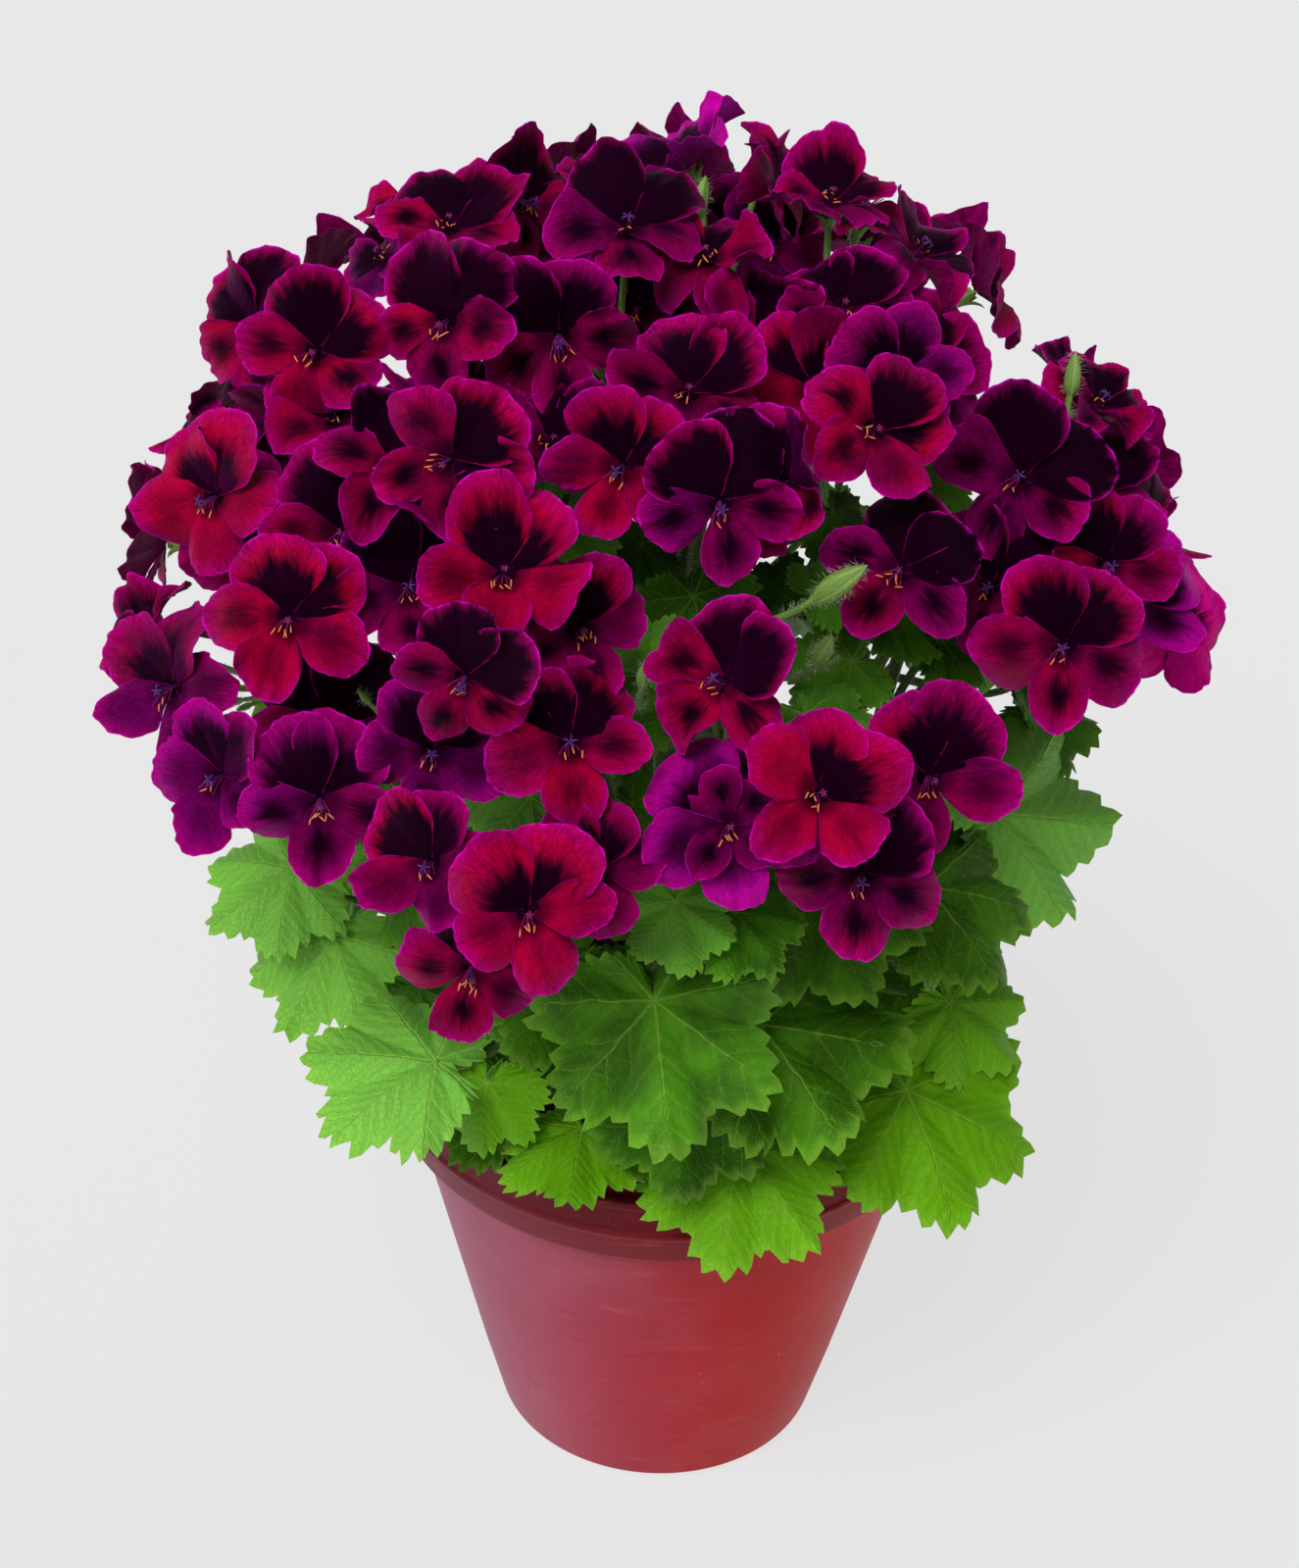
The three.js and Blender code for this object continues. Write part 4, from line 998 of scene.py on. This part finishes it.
def add_petal(stock, rng, k, half, cup, to_world, tone, scale=1.0):
    """Petal k of a bloom; a smaller scale makes a petal of the second ring."""
    upper = k in UPPER_PAIR
    grid, u, v = petal_grid(rng, UPPER if upper else LOWER, half * scale, cup, rng.uniform(0.03, 0.09))
    shift = PETAL_SHIFT[k] if scale == 1 else 0
    m = math.radians(FIFTH * k + FIFTH / 2 + shift + rng.normal(0, 4))
    out, side = np.array([-math.sin(m), math.cos(m), 0]), np.array([-math.cos(m), -math.sin(m), 0])
    local = grid[..., :1] * side + grid[..., 1:2] * out + grid[..., 2:] * UP
    points, faces = thin_sheet(local, 0.34 - 0.2 * v ** 2)
    place = np.stack([u.ravel(), v.ravel(), np.full(u.size, 0.0 if upper else 1.0)], axis=1)
    tones = np.array([[*tone, 0.0], [*tone, 1.0]]).repeat(u.size, axis=0)
    stock.add(to_world(points), faces, place=np.concatenate([place, place]), tone=tones)


def bloom_tone(rng, which):
    """How far the dark blotches of a bloom reach, and its shade."""
    ranges = next((found for blooms, *found in TONES if which in blooms), CRIMSON)
    return [rng.uniform(*limits) for limits in ranges]


def add_throat(stock, to_world, cup, half):
    """The closed dark middle that the petals spring from."""
    a = -circle(14)
    r = np.array([0, 0.05, 0.1, 0.155])[:, None] * np.ones(14)
    z = cup * r * (1.3 - 0.55 * r) - 0.012
    grid = np.stack([r * np.sin(a), r * np.cos(a), z], axis=2) * half
    points, faces = thin_disc(grid[:, ::-1], np.full(grid.shape[:2], 0.3))
    stock.add(to_world(points), faces, place=(0, 0.1, 0), tone=(1, 0.3, 0))


def ellipsoid(at, axis, length, width, rows=6, sides=7):
    """A small closed seed shape that points along an axis."""
    t = np.linspace(0, math.pi, rows + 2)[1:-1]
    path = at + np.outer(-np.cos(t) * length / 2, axis)
    return tube(path, np.sin(t) * width / 2, sides)


def add_heart(stock, rng, to_world, scale, ripe):
    """Stamens with anthers and, in an older bloom, the curled stigma."""
    violet, orange, magenta = rgb(70, 26, 104)[:3], rgb(214, 122, 58)[:3], rgb(110, 6, 76)[:3]

    def add(shape, colour):
        stock.add(to_world(shape[0]), shape[1], tone=colour)

    for i in range(rng.integers(4, 7)):
        side = (i - 2.5) * 0.9 + rng.normal(0, 0.3)
        end = np.array([side * 1.3, -3.2 - rng.uniform(0, 2.6), 5.2 + rng.uniform(0, 2.2)]) * scale
        path = arc(np.array([0.25 * side, -0.3, 0.2]), np.array([0.3 * side, -0.6, 3.2]) * scale,
                   end - np.array([0, -1.2, 1.2]), end, 7)
        add(tube(path, np.linspace(0.26, 0.18, 7), 5), magenta)
        if not ripe or i % 2:
            axis = unit(np.array([rng.normal(0, 0.6), -0.8, rng.uniform(-0.2, 0.8)]))
            add(ellipsoid(end, axis, 2.5, 0.46), orange)
    top = np.array([0.3, -1.4, 7.4]) * scale
    add(tube(arc(0.2 * UP, 3.0 * UP, top - 2.0 * UP, top, 6), 0.34, 6), violet)
    size = 1.25 if ripe else 0.7
    t = np.linspace(0, 4.4, 9)[:, None]
    for i in range(5):
        a = 2 * math.pi * i / 5 + rng.normal(0, 0.15)
        out = np.array([math.cos(a), math.sin(a), 0])
        across = (1.15 - 0.5 * np.cos(t) * (1 - t / 9) - 0.65) * out * 1.8
        curl = top + size * (across + np.sin(t * 0.9) * (1 - t / 8) * UP)
        add(tube(curl, np.linspace(0.3, 0.17, 9), 5), violet if ripe else magenta)


def add_blade_scale(stock, path, width, tone, sideways, thickness=0.35):
    """A pointed scale, sepal or bract along a path, hollow on the side it faces away from."""
    t = np.linspace(0, 1, len(path))
    shape = (width * (np.sin(np.pi * t ** 0.75) ** 0.8 * 0.5 + 0.08 * (1 - t)))[:, None, None]
    c = np.linspace(-1, 1, 5)
    across = c[None, :, None]
    normal = unit_rows(np.cross(np.gradient(path, axis=0), sideways))
    grid = path[:, None] + (across * shape) * sideways - (across ** 2 * shape * 0.55) * normal[:, None]
    points, faces = thin_sheet(grid, np.full(grid.shape[:2], thickness))
    aside = np.tile(c, 2 * len(path)) * 0.5
    place = np.stack([np.tile(t.repeat(5), 2), aside, np.zeros(len(points))], axis=1)
    stock.add(points, faces, place=place, tone=tone)


def add_calyx(stock, hairs, rng, to_world, turn_axes):
    """Five sepals behind the petals and the narrow tube below them."""
    for k in range(5):
        m = math.radians(FIFTH * k + rng.normal(0, 5))
        out, side = np.array([-math.sin(m), math.cos(m), 0]), np.array([math.cos(m), math.sin(m), 0])
        flare = rng.uniform(5.6, 7.6)
        path = arc(1.0 * out - 7.4 * UP, 2.6 * out - 5.6 * UP, 2.6 * out - 2.2 * UP,
                   flare * out - rng.uniform(-0.2, 1.6) * UP, 7)
        add_blade_scale(stock, to_world(path), 3.2, (0.25 * rng.random(), 0.05, 0.45), side @ turn_axes)
    path = to_world(np.outer([-8.2, -7.0, -4.5, -0.8], UP))
    stock.add(*tube(path, [1.0, 1.75, 2.2, 1.8], 10), tone=(0.2, 0, 0.3))
    hairs_along(hairs, path[:3], radius=1.9, count=26, length=1.5, rng=rng)


def young_bud(stock, hairs, rng, foot, axis, length, tone=(0.05, 0, 0.3)):
    """A closed bud: an oval body wrapped in five ribbed sepals that meet in a point, all over hairs."""
    axis = unit(axis)
    x, y, _ = facing(axis, rng.uniform(0, 360)) if abs(axis[2]) < UPRIGHT else np.eye(3)
    radius = 0.165 * length

    def bulge(t):
        return np.sin(np.pi * t ** 0.8) ** 0.75 * radius

    t = np.linspace(0.02, 0.98, 8)
    stock.add(*tube(foot + np.outer(t * length * 0.92, axis), bulge(t) * 0.86 + 0.1, 10), tone=tone)
    s = np.linspace(0, 1, 8)
    for k in range(5):
        out, side = around(x, y, 2 * math.pi * k / 5)
        path = foot + np.outer(s * length, axis) + np.outer(bulge(0.04 + 0.96 * s) * 1.04, out)
        add_blade_scale(stock, path, radius * 1.6, (tone[0], tone[1], tone[2] + 0.3 * (k % 2)), side, 0.3)
    count = int(8 * length)
    s = rng.uniform(0.05, 0.95, size=count)
    a = rng.uniform(0, 2 * math.pi, size=(count, 1))
    out = np.cos(a) * x + np.sin(a) * y
    roots = foot + np.outer(s * length, axis) + out * (bulge(0.04 + 0.96 * s) * 1.15)[:, None]
    add_hairs(hairs, roots, out, 2.7, 0.05, rng, 0.5)


def back_head(stem, azimuth, elevation):
    """A head of three blooms at the back, set round its own middle on the dome."""
    out = direction(azimuth, elevation)
    side, up, _ = facing(out, 0)
    blooms = []
    for j in range(3):
        a = math.radians(90 + 120 * j)
        lean = math.cos(a) * side + math.sin(a) * up
        at = unit(out + 0.17 * lean) * DOME_REACH + CROWN
        blooms.append((*at, *angles(out + 0.45 * lean), 40 * j - 50, 46 + 1.5 * j))
    return stem, blooms


def all_heads():
    return HEADS + [back_head(*head) for head in BACK_HEADS]


def head_knob(blooms):
    """Where the stalks of a head's blooms meet, and which way that joint points."""
    middle = np.mean([b[:3] for b in blooms], axis=0)
    out = unit(middle - CROWN)
    return middle - KNOB["depth"] * out, unit(out + 0.45 * UP)


def build_heads():
    """Every flower head: its petals, its calyces, stalks and small buds, its hearts and its hairs."""
    index = 0
    for h, (_, blooms) in enumerate(all_heads(), start=1):
        node = f"head_{h:02d}"
        points = node_points(node)
        knob, knob_axis = head_knob(blooms)
        rng = draws("head", h - 1)
        petals, stalks, hearts, hairs = Stock(), Stock(), Stock(), Stock()
        for b, bloom in enumerate(blooms, start=1):
            axes = axes_of(bloom)
            at = find_bloom(points, np.array(bloom[:3], float), axes[2])

            def to_world(local, at=at, axes=axes):
                return np.asarray(local) @ axes + at

            half, cup = bloom[6] / 2, 0.34 + 0.13 * math.sin(2.4 * index)
            tone = bloom_tone(rng, (h, b))
            for k in range(5):
                own = tone[0] * rng.uniform(0.78, 1.15), tone[1] + rng.normal(0, 0.2)
                add_petal(petals, rng, k, half, cup, to_world, own)
            if (h, b) == DOUBLE:
                for k in SECOND_RING:
                    add_petal(petals, rng, k, half, cup + 0.25, to_world, (1.3, 0.8), SECOND_SIZE)
            add_throat(petals, to_world, cup, half)
            add_heart(hearts, rng, to_world, half / USUAL_HALF, ripe=rng.random() < 0.5)
            add_calyx(stalks, hairs, rng, to_world, axes)
            path = np.linspace(at - CALYX_DEPTH * axes[2], knob, PEDICEL_RINGS)
            radii = np.linspace(1.1, PEDICEL_RADIUS, PEDICEL_RINGS)
            stalks.add(*tube(path, radii, 7), tone=(0.15 * rng.random(), 0, 0.2))
            count = int(1.6 * np.linalg.norm(path[-1] - path[0]))
            hairs_along(hairs, path, PEDICEL_RADIUS, count, length=1.5, rng=rng)
            index += 1
        add_knob(stalks, hairs, rng, knob, knob_axis)
        petals.piece(f"petals_{h:02d}", velvet, "petals", [node])
        stalks.piece(f"umbel_{h:02d}", stalk_green, "foliage", [node])
        hearts.piece(f"hearts_{h:02d}", heart_paint, "petals", [node])
        hairs.piece(f"umbel_hairs_{h:02d}", hair_white, "foliage", [node], crisp=0)


def add_knob(stock, hairs, rng, at, axis):
    """The joint that the pedicels spring from, with its ring of bracts and a few late buds."""
    core = at + np.outer(np.linspace(-0.5, 0.5, 5) * KNOB["height"], axis)
    stock.add(*tube(core, [2.2, 2.7, 3.3, 3.6, 2.6], 10), tone=(0.1, 0.05, 0.3))
    x, y, _ = facing(axis, 0) if abs(axis[2]) < UPRIGHT else np.eye(3)
    for k in range(6):
        out, side = around(x, y, 2 * math.pi * k / 6 + rng.normal(0, 0.2))
        start = at - 1.0 * axis + 2.0 * out
        end = start + (4.6 * out + 6.5 * axis)
        path = arc(start, start + 2.5 * out, start + 4.4 * out + 3 * axis, end, 6)
        add_blade_scale(stock, path, 3.0, (0.1, 0, 0.4), side)
    for _ in range(rng.integers(2, 4)):
        out, _ = around(x, y, rng.uniform(0, 2 * math.pi))
        foot = at + 3 * out + 1.5 * axis
        end = at + rng.uniform(6, 9) * out + rng.uniform(9, 13) * axis
        path = arc(foot, foot + 4 * axis, end - 3 * axis - 1.0 * out, end, 7)
        stock.add(*tube(path, 0.75, 6), tone=(0.1, 0, 0.3))
        young_bud(stock, hairs, rng, end, unit(axis + 0.7 * out), rng.uniform(6, 9))
    hairs_along(hairs, core, radius=3.2, count=40, length=1.6, rng=rng)


# ---- leaves ----
# Half outline of a blade: angle from the tip, radius; the other half mirrors it.
LEAF_HALF = [(0, 1.14), (8, 1.1), (16, 1.0), (24, 0.86), (34, 1.03), (47, 1.08), (59, 0.96), (71, 0.78),
             (82, 0.91), (94, 0.9), (106, 0.78), (120, 0.64), (134, 0.52), (148, 0.42), (162, 0.32),
             (174, 0.18), (180, 0.1)]
LEAF_TIP, LEAF_HEEL = 1.2, 0.1        # how far these corners of the solids lie from the stalk
LEAF_SPAN = 1.9                       # width of a blade in the units of its outline
LEAF_DROOP, TIP_LIFT = 0.2, 0.06      # how a blade sinks outward, and how much less it does at its tip
TEETH = 40
LEAF_RINGS = np.array([0, 0.05, 0.16, 0.3, 0.45, 0.6, 0.74, 0.86, 0.94, 1.0])


def leaf_grid(rng, scale):
    """A blade's surface in rings from the stalk outward, its plan, and how near its edge each point is."""
    a = (np.arange(3 * TEETH) / (3 * TEETH) - 0.5) * 360
    a[1:-1] += rng.uniform(-0.9, 0.9, 3 * TEETH - 2)
    tooth = np.tile([0.0, 0.62, 1.0], TEETH)
    depth = np.repeat(rng.uniform(0.055, 0.125, TEETH), 3)
    plain = np.radians(a)
    bent = a + 1.3 * np.sin(plain * 3 + rng.uniform(0, 6))
    low, reach = zip(*LEAF_HALF)
    edge = np.interp(np.abs(bent), low, reach) * (1 + rng.normal(0, 0.02))
    edge = edge * (1 + 0.03 * np.sin(plain * 2 + rng.uniform(0, 6)))
    edge = edge + tooth * depth * np.clip((172 - np.abs(a)) / 14, 0, 1)
    slant = np.radians(a + np.sign(a) * 1.2 * tooth)
    t = LEAF_RINGS[:, None]
    r = t * edge
    mixed = t ** 4 * (slant - plain) + plain
    x, y = r * np.sin(mixed), r * np.cos(mixed)
    off = np.abs((np.degrees(mixed) / LOBE_ANGLE + 0.5) % 1 - 0.5) * 2
    z = -LEAF_DROOP * r * r + 0.095 * r * (1 - 2 * off ** 1.2) * np.clip(r / 0.2, 0, 1) ** 2
    z = z + 0.05 * t ** 3 * np.sin(mixed * 7 + rng.uniform(0, 6)) \
        + 0.025 * t ** 4 * np.sin(mixed * 17 + rng.uniform(0, 6)) \
        + rng.normal(0, 0.09) * x * y + rng.normal(0, 0.08) * (x * x - y * y) * t \
        + rng.normal(0, 0.12) * t ** 3 * np.cos(mixed - rng.uniform(0, 6))
    plan = np.stack([x, y, np.zeros_like(x)], axis=2)
    return np.stack([x, y, z], axis=2) * scale, plan, np.broadcast_to(t, x.shape)


def add_leaf(stock, rng, at, axes, width, tone):
    """A blade whose columns are turned round, so that they run counter-clockwise seen from above."""
    grid, plan, edge = (part[:, ::-1] for part in leaf_grid(rng, width / LEAF_SPAN))
    points, faces = thin_disc(grid, 0.55 - 0.3 * edge ** 3)
    place = np.concatenate([plan[:1, 0], plan[1:].reshape(-1, 3)])
    near = np.concatenate([edge[:1, 0], edge[1:].ravel()])
    n = len(place)
    place = np.concatenate([place, place + UP])
    tones = np.stack([np.full(2 * n, tone[0]), np.full(2 * n, tone[1]), np.tile(near, 2)], axis=1)
    stock.add(points @ axes + at, faces, place=place, tone=tones)


class Shoot:
    """A leafy shoot: the curve of its stem, the corners of its solid, and what its pieces are made from."""

    def __init__(self, number, stem):
        self.number, self.stem = number, stem_corners(stem)
        self.points = node_points(f"shoot_{number}")
        self.blades, self.stalks, self.hairs = Stock(), Stock(), Stock()

    def on_stem(self, t):
        """The point at share t of the stem's curve."""
        return bezier(*self.stem, [t])[0]

    def add_stem(self, rng):
        """The stem, knotted where leaves have fallen, browner towards the soil, in which it is rooted."""
        path = evenly(self.stem, 34)
        path = np.concatenate([[path[0] - ROOT_DEPTH * UP], path])
        t = np.linspace(0, 1, len(path))
        knots = np.abs(np.sin(t * 17 + rng.uniform(0, 3))) ** 14
        points, faces, place = tube(path, STEM_RADIUS * (1.02 - 0.16 * t) + 0.45 * knots, 12)
        brown = np.clip(0.9 - 1.6 * place[:, 0], 0, 1)
        tone = np.stack([brown * 0.1, brown, np.full(len(brown), 0.15)], axis=1)
        self.stalks.add(points, faces, place=place, tone=tone)
        hairs_along(self.hairs, path[4:], STEM_RADIUS, count=500, length=1.3, rng=rng)

    def add_stalk(self, rng, curve, radius, hairiness):
        """A round stalk, a little stouter at its foot, with its hairs."""
        path = evenly(curve, 16)
        tubes = tube(path, np.linspace(1.25, 0.95, len(path)) * radius)
        self.stalks.add(*tubes, tone=(0.12 * rng.random(), 0, 0.15 + 0.2 * rng.random()))
        reach = np.linalg.norm(np.diff(path, axis=0), axis=1).sum()
        hairs_along(self.hairs, path, radius, int(hairiness * reach * 2), length=2.5, rng=rng)

    def add_bud(self, rng, foot, axis, length):
        young_bud(self.stalks, self.hairs, rng, foot, axis, length)

    def pieces(self):
        nodes = [f"shoot_{self.number}"]
        self.stalks.piece(f"stems_{self.number}", stalk_green, "foliage", nodes)
        self.blades.piece(f"leaves_{self.number}", blade_green, "foliage", nodes)
        self.hairs.piece(f"stem_hairs_{self.number}", hair_white, "foliage", nodes, crisp=0)


def nearest(shoots, at):
    """The shoots, the one whose stem passes nearest first."""
    return sorted(shoots, key=lambda shoot: np.linalg.norm(shoot.on_stem(0.8) - at))


def leaf_spots():
    """The leaves placed one by one, and those at the back, in two rows."""
    spots = list(LEAVES)
    for azimuths, (radius, height, width) in BACK_LEAVES:
        for azimuth in azimuths:
            x, y, _ = direction(azimuth, 0) * radius
            spots.append((x, y, height, azimuth, 48, 180, width))
    return spots


def inner_leaves(rng):
    """Small leaves under the dome of flowers, at steps of the golden angle, and one low on each side."""
    for layer in INNER_LEAVES:
        for i in range(layer["count"]):
            rise = (i + 0.5) / layer["count"]
            elevation = layer["low"] + (layer["high"] - layer["low"]) * rise
            azimuth = GOLDEN_ANGLE * i + rng.normal(0, 6)
            at = CROWN + direction(azimuth, elevation) * layer["reach"] * rng.uniform(0.88, 1.04)
            yield at, azimuth, elevation, rng.uniform(*layer["width"])
    for x, y, z, azimuth, elevation, width in SIDE_LEAVES:
        yield np.array([x, y, z], float), azimuth, elevation, width


def find_leaf(n, spot, shoots):
    """The shoot, place and axes of a leaf, as the solids hold it: there its tip and its heel are corners."""
    base = np.array(spot[:3], float)
    scale = spot[6] / LEAF_SPAN
    tip = scale * np.array([0, LEAF_TIP, TIP_LIFT * LEAF_TIP - LEAF_DROOP * LEAF_TIP ** 2])
    heel = scale * np.array([0, -LEAF_HEEL, -LEAF_DROOP * LEAF_HEEL ** 2])
    for shoot in nearest(shoots, base)[:3]:
        for twist in LEAF_TWISTS:
            axes = axes_of(spot, twist)
            for slide in slides(*LEAF_SLIDE):
                at = base + slide * axes[2]
                if has_point(shoot.points, at + tip @ axes) and has_point(shoot.points, at + heel @ axes):
                    return shoot, at, axes
    raise ValueError(f"leaf {n} is not in the solids")


def find_bud(points, start, axis, length):
    """Where the foot of a bud came to rest: its tip and the corners round its waist are in the solids."""
    for slide in slides(*BUD_SLIDE):
        foot = start + slide * axis
        waist = count_round(points, foot + 0.25 * length * axis, 0.2 * length)
        if has_point(points, foot + length * axis) and waist >= 4:
            return foot
    raise ValueError("a bud is not in the solids")


def leaf_tone(n, rng):
    """How much painted light (above 0) or painted shade (below 0) the green of a leaf carries, and how
    yellow it is.
    """
    light = 0.66 if n in LIT_LEAVES else -0.4 if n in SHADED_LEAVES else rng.uniform(0.0, 0.34)
    return light, 0.62 if n in LIME_LEAVES else rng.uniform(0, 0.15)


def build_leaves(shoots):
    """Every leaf on its stalk: those that the solids hold, then the small ones inside the dome."""
    for n, spot in enumerate(leaf_spots()):
        rng = draws("leaf", n)
        shoot, at, axes = find_leaf(n, spot, shoots)
        add_leaf(shoot.blades, rng, at, axes, spot[6], leaf_tone(n, rng))
        # A higher leaf springs from higher up its stem; the solids hold one of three such starts.
        low = np.clip((spot[2] - 225) / 150, 0.1, 0.75) + 0.05 * (n % 4)
        starts = [shoot.on_stem(low + rise) for rise in (0, 0.12, -0.08)]
        end = at - BLADE_SINK * axes[2]
        curve = traced_stalk(shoot.points, starts, end, axes[2], PETIOLE_RADIUS, 2)
        shoot.add_stalk(rng, curve, PETIOLE_RADIUS, hairiness=0.9)
    rng = draws("inner_leaf")
    for at, azimuth, elevation, width in inner_leaves(rng):
        axes = axes_of((*at, azimuth, max(elevation, 25) + rng.normal(0, 12), 180 + rng.normal(0, 35)))
        shoot = nearest(shoots, at)[0]
        add_leaf(shoot.blades, rng, at, axes, width, (rng.uniform(0, 0.35), rng.uniform(0, 0.2)))
        start = shoot.on_stem(rng.uniform(0.6, 0.95))
        curve = stalk_corners(start, at - BLADE_SINK * axes[2], axes[2], 0, 0)
        shoot.add_stalk(rng, curve, PETIOLE_RADIUS, hairiness=0.9)


def build_buds(shoots):
    """Every bud on its stalk; a long one has a second, small bud beside it."""
    for *middle, azimuth, elevation, length in BUDS:
        rng = np.random.default_rng(int(abs(middle[0]) * 7 + middle[2]))
        shoot = nearest(shoots, np.array(middle, float))[0]
        axis = direction(azimuth, elevation)
        foot = find_bud(shoot.points, np.array(middle) - axis * length / 2, axis, length)
        shoot.add_bud(rng, foot, axis, length)
        if length > LONG_BUD:
            x, y, _ = facing(axis, 0)
            shoot.add_bud(rng, foot - 2 * axis, unit(axis + 0.5 * x - 0.25 * y), 0.66 * length)
        starts = [shoot.on_stem(0.9)]
        curve = traced_stalk(shoot.points, starts, foot + 1.5 * axis, axis, BUD_STALK_RADIUS, 2)
        shoot.add_stalk(rng, curve, BUD_STALK_RADIUS, hairiness=1.4)


def build_head_stalks(shoots):
    """The stalk that carries each flower head."""
    for h, (stem, blooms) in enumerate(all_heads()):
        knob, axis = head_knob(blooms)
        end = knob - axis * (KNOB["height"] / 2 + GAP)
        starts = [shoots[stem].on_stem(0.62 + 0.36 * ((h * 0.37) % 1))]
        curve = traced_stalk(shoots[stem].points, starts, end, axis, PEDUNCLE_RADIUS, 3)
        shoots[stem].add_stalk(draws("head_stalk", h), curve, PEDUNCLE_RADIUS, hairiness=1.5)


def build_shoots():
    """Stems, leaf stalks and head stalks of each shoot, its leaf blades, its buds and the hairs on them."""
    shoots = [Shoot(i + 1, stem) for i, stem in enumerate(STEMS)]
    for i, shoot in enumerate(shoots):
        shoot.add_stem(draws("stem", i))
    build_leaves(shoots)
    build_buds(shoots)
    build_head_stalks(shoots)
    for shoot in shoots:
        shoot.pieces()


# ---- stage ----
CAMERA_PLACE = (-0.009315, -0.913447, 0.866449)
CAMERA_DOWN, CAMERA_ROLL = 33.87, 1.89
SENSOR, FOCAL_PIXELS, PHOTO_HEIGHT = 36, 3500, 1599
FLOOR_RADIUS, FLOOR_HEIGHT = 6, -0.0002    # metres; just below the pot


def add_camera():
    e, roll = math.radians(CAMERA_DOWN), math.radians(CAMERA_ROLL)
    ahead = Vector((0, math.cos(e), -math.sin(e)))
    right, up = Vector((1, 0, 0)), Vector((0, math.sin(e), math.cos(e)))
    x = right * math.cos(roll) + up * math.sin(roll)
    y = up * math.cos(roll) - right * math.sin(roll)
    matrix = Matrix((x, y, -ahead)).transposed().to_4x4()
    matrix.translation = Vector(CAMERA_PLACE)
    data = bpy.data.cameras.new("photo_camera")
    data.lens, data.sensor_width = SENSOR * FOCAL_PIXELS / PHOTO_HEIGHT, SENSOR
    data.clip_start, data.clip_end = 0.01, 50
    camera = bpy.data.objects.new("photo_camera", data)
    camera.matrix_world = matrix
    bpy.context.scene.collection.objects.link(camera)
    bpy.context.scene.camera = camera


def add_floor():
    made, p = material("pale_floor", Roughness=0.9, Specular_IOR_Level=0.1, Emission_Strength=0.7,
                       Emission_Color=(1.0, 1.0, 1.0, 1.0))
    p.finish(Base_Color=p.blend(p.noise(p.here(), 3.0), rgb(84, 84, 84), rgb(88, 88, 88)))
    mesh = bpy.data.meshes.new("floor")
    rim = [(FLOOR_RADIUS * math.cos(a), FLOOR_RADIUS * math.sin(a), FLOOR_HEIGHT) for a in circle(64)]
    mesh.from_pydata(rim, [], [list(range(len(rim)))])
    mesh.materials.append(made)
    floor = bpy.data.objects.new("floor", mesh)
    bpy.context.scene.collection.objects.link(floor)
    floor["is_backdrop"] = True


def add_sun(name, azimuth, elevation, strength, angle, colour=(1, 1, 1)):
    data = bpy.data.lights.new(name, "SUN")
    data.energy, data.angle, data.color = strength, math.radians(angle), colour
    lamp = bpy.data.objects.new(name, data)
    lamp.rotation_mode = "QUATERNION"
    lamp.rotation_quaternion = Vector(direction(azimuth, elevation)).to_track_quat("Z", "Y")
    bpy.context.scene.collection.objects.link(lamp)


def add_light():
    world = bpy.data.worlds.new("soft_studio")
    world.use_nodes = True
    background = world.node_tree.nodes["Background"]
    background.inputs["Color"].default_value = (1, 1, 1, 1)
    background.inputs["Strength"].default_value = 0.25
    bpy.context.scene.world = world
    add_sun("soft_key", azimuth=-112, elevation=55, strength=2.75, angle=30)
    add_sun("soft_left", azimuth=-160, elevation=22, strength=0.8, angle=60, colour=(0.94, 0.9, 1.0))
    bpy.context.scene.view_settings.view_transform = "Standard"


pot_body()
soil_body()
build_heads()
build_shoots()
add_camera()
add_floor()
add_light()


def plain(box):
    return [[float(c) for c in corner] for corner in box]


{"cad": plain(cad_box), "visual": plain(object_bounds())}
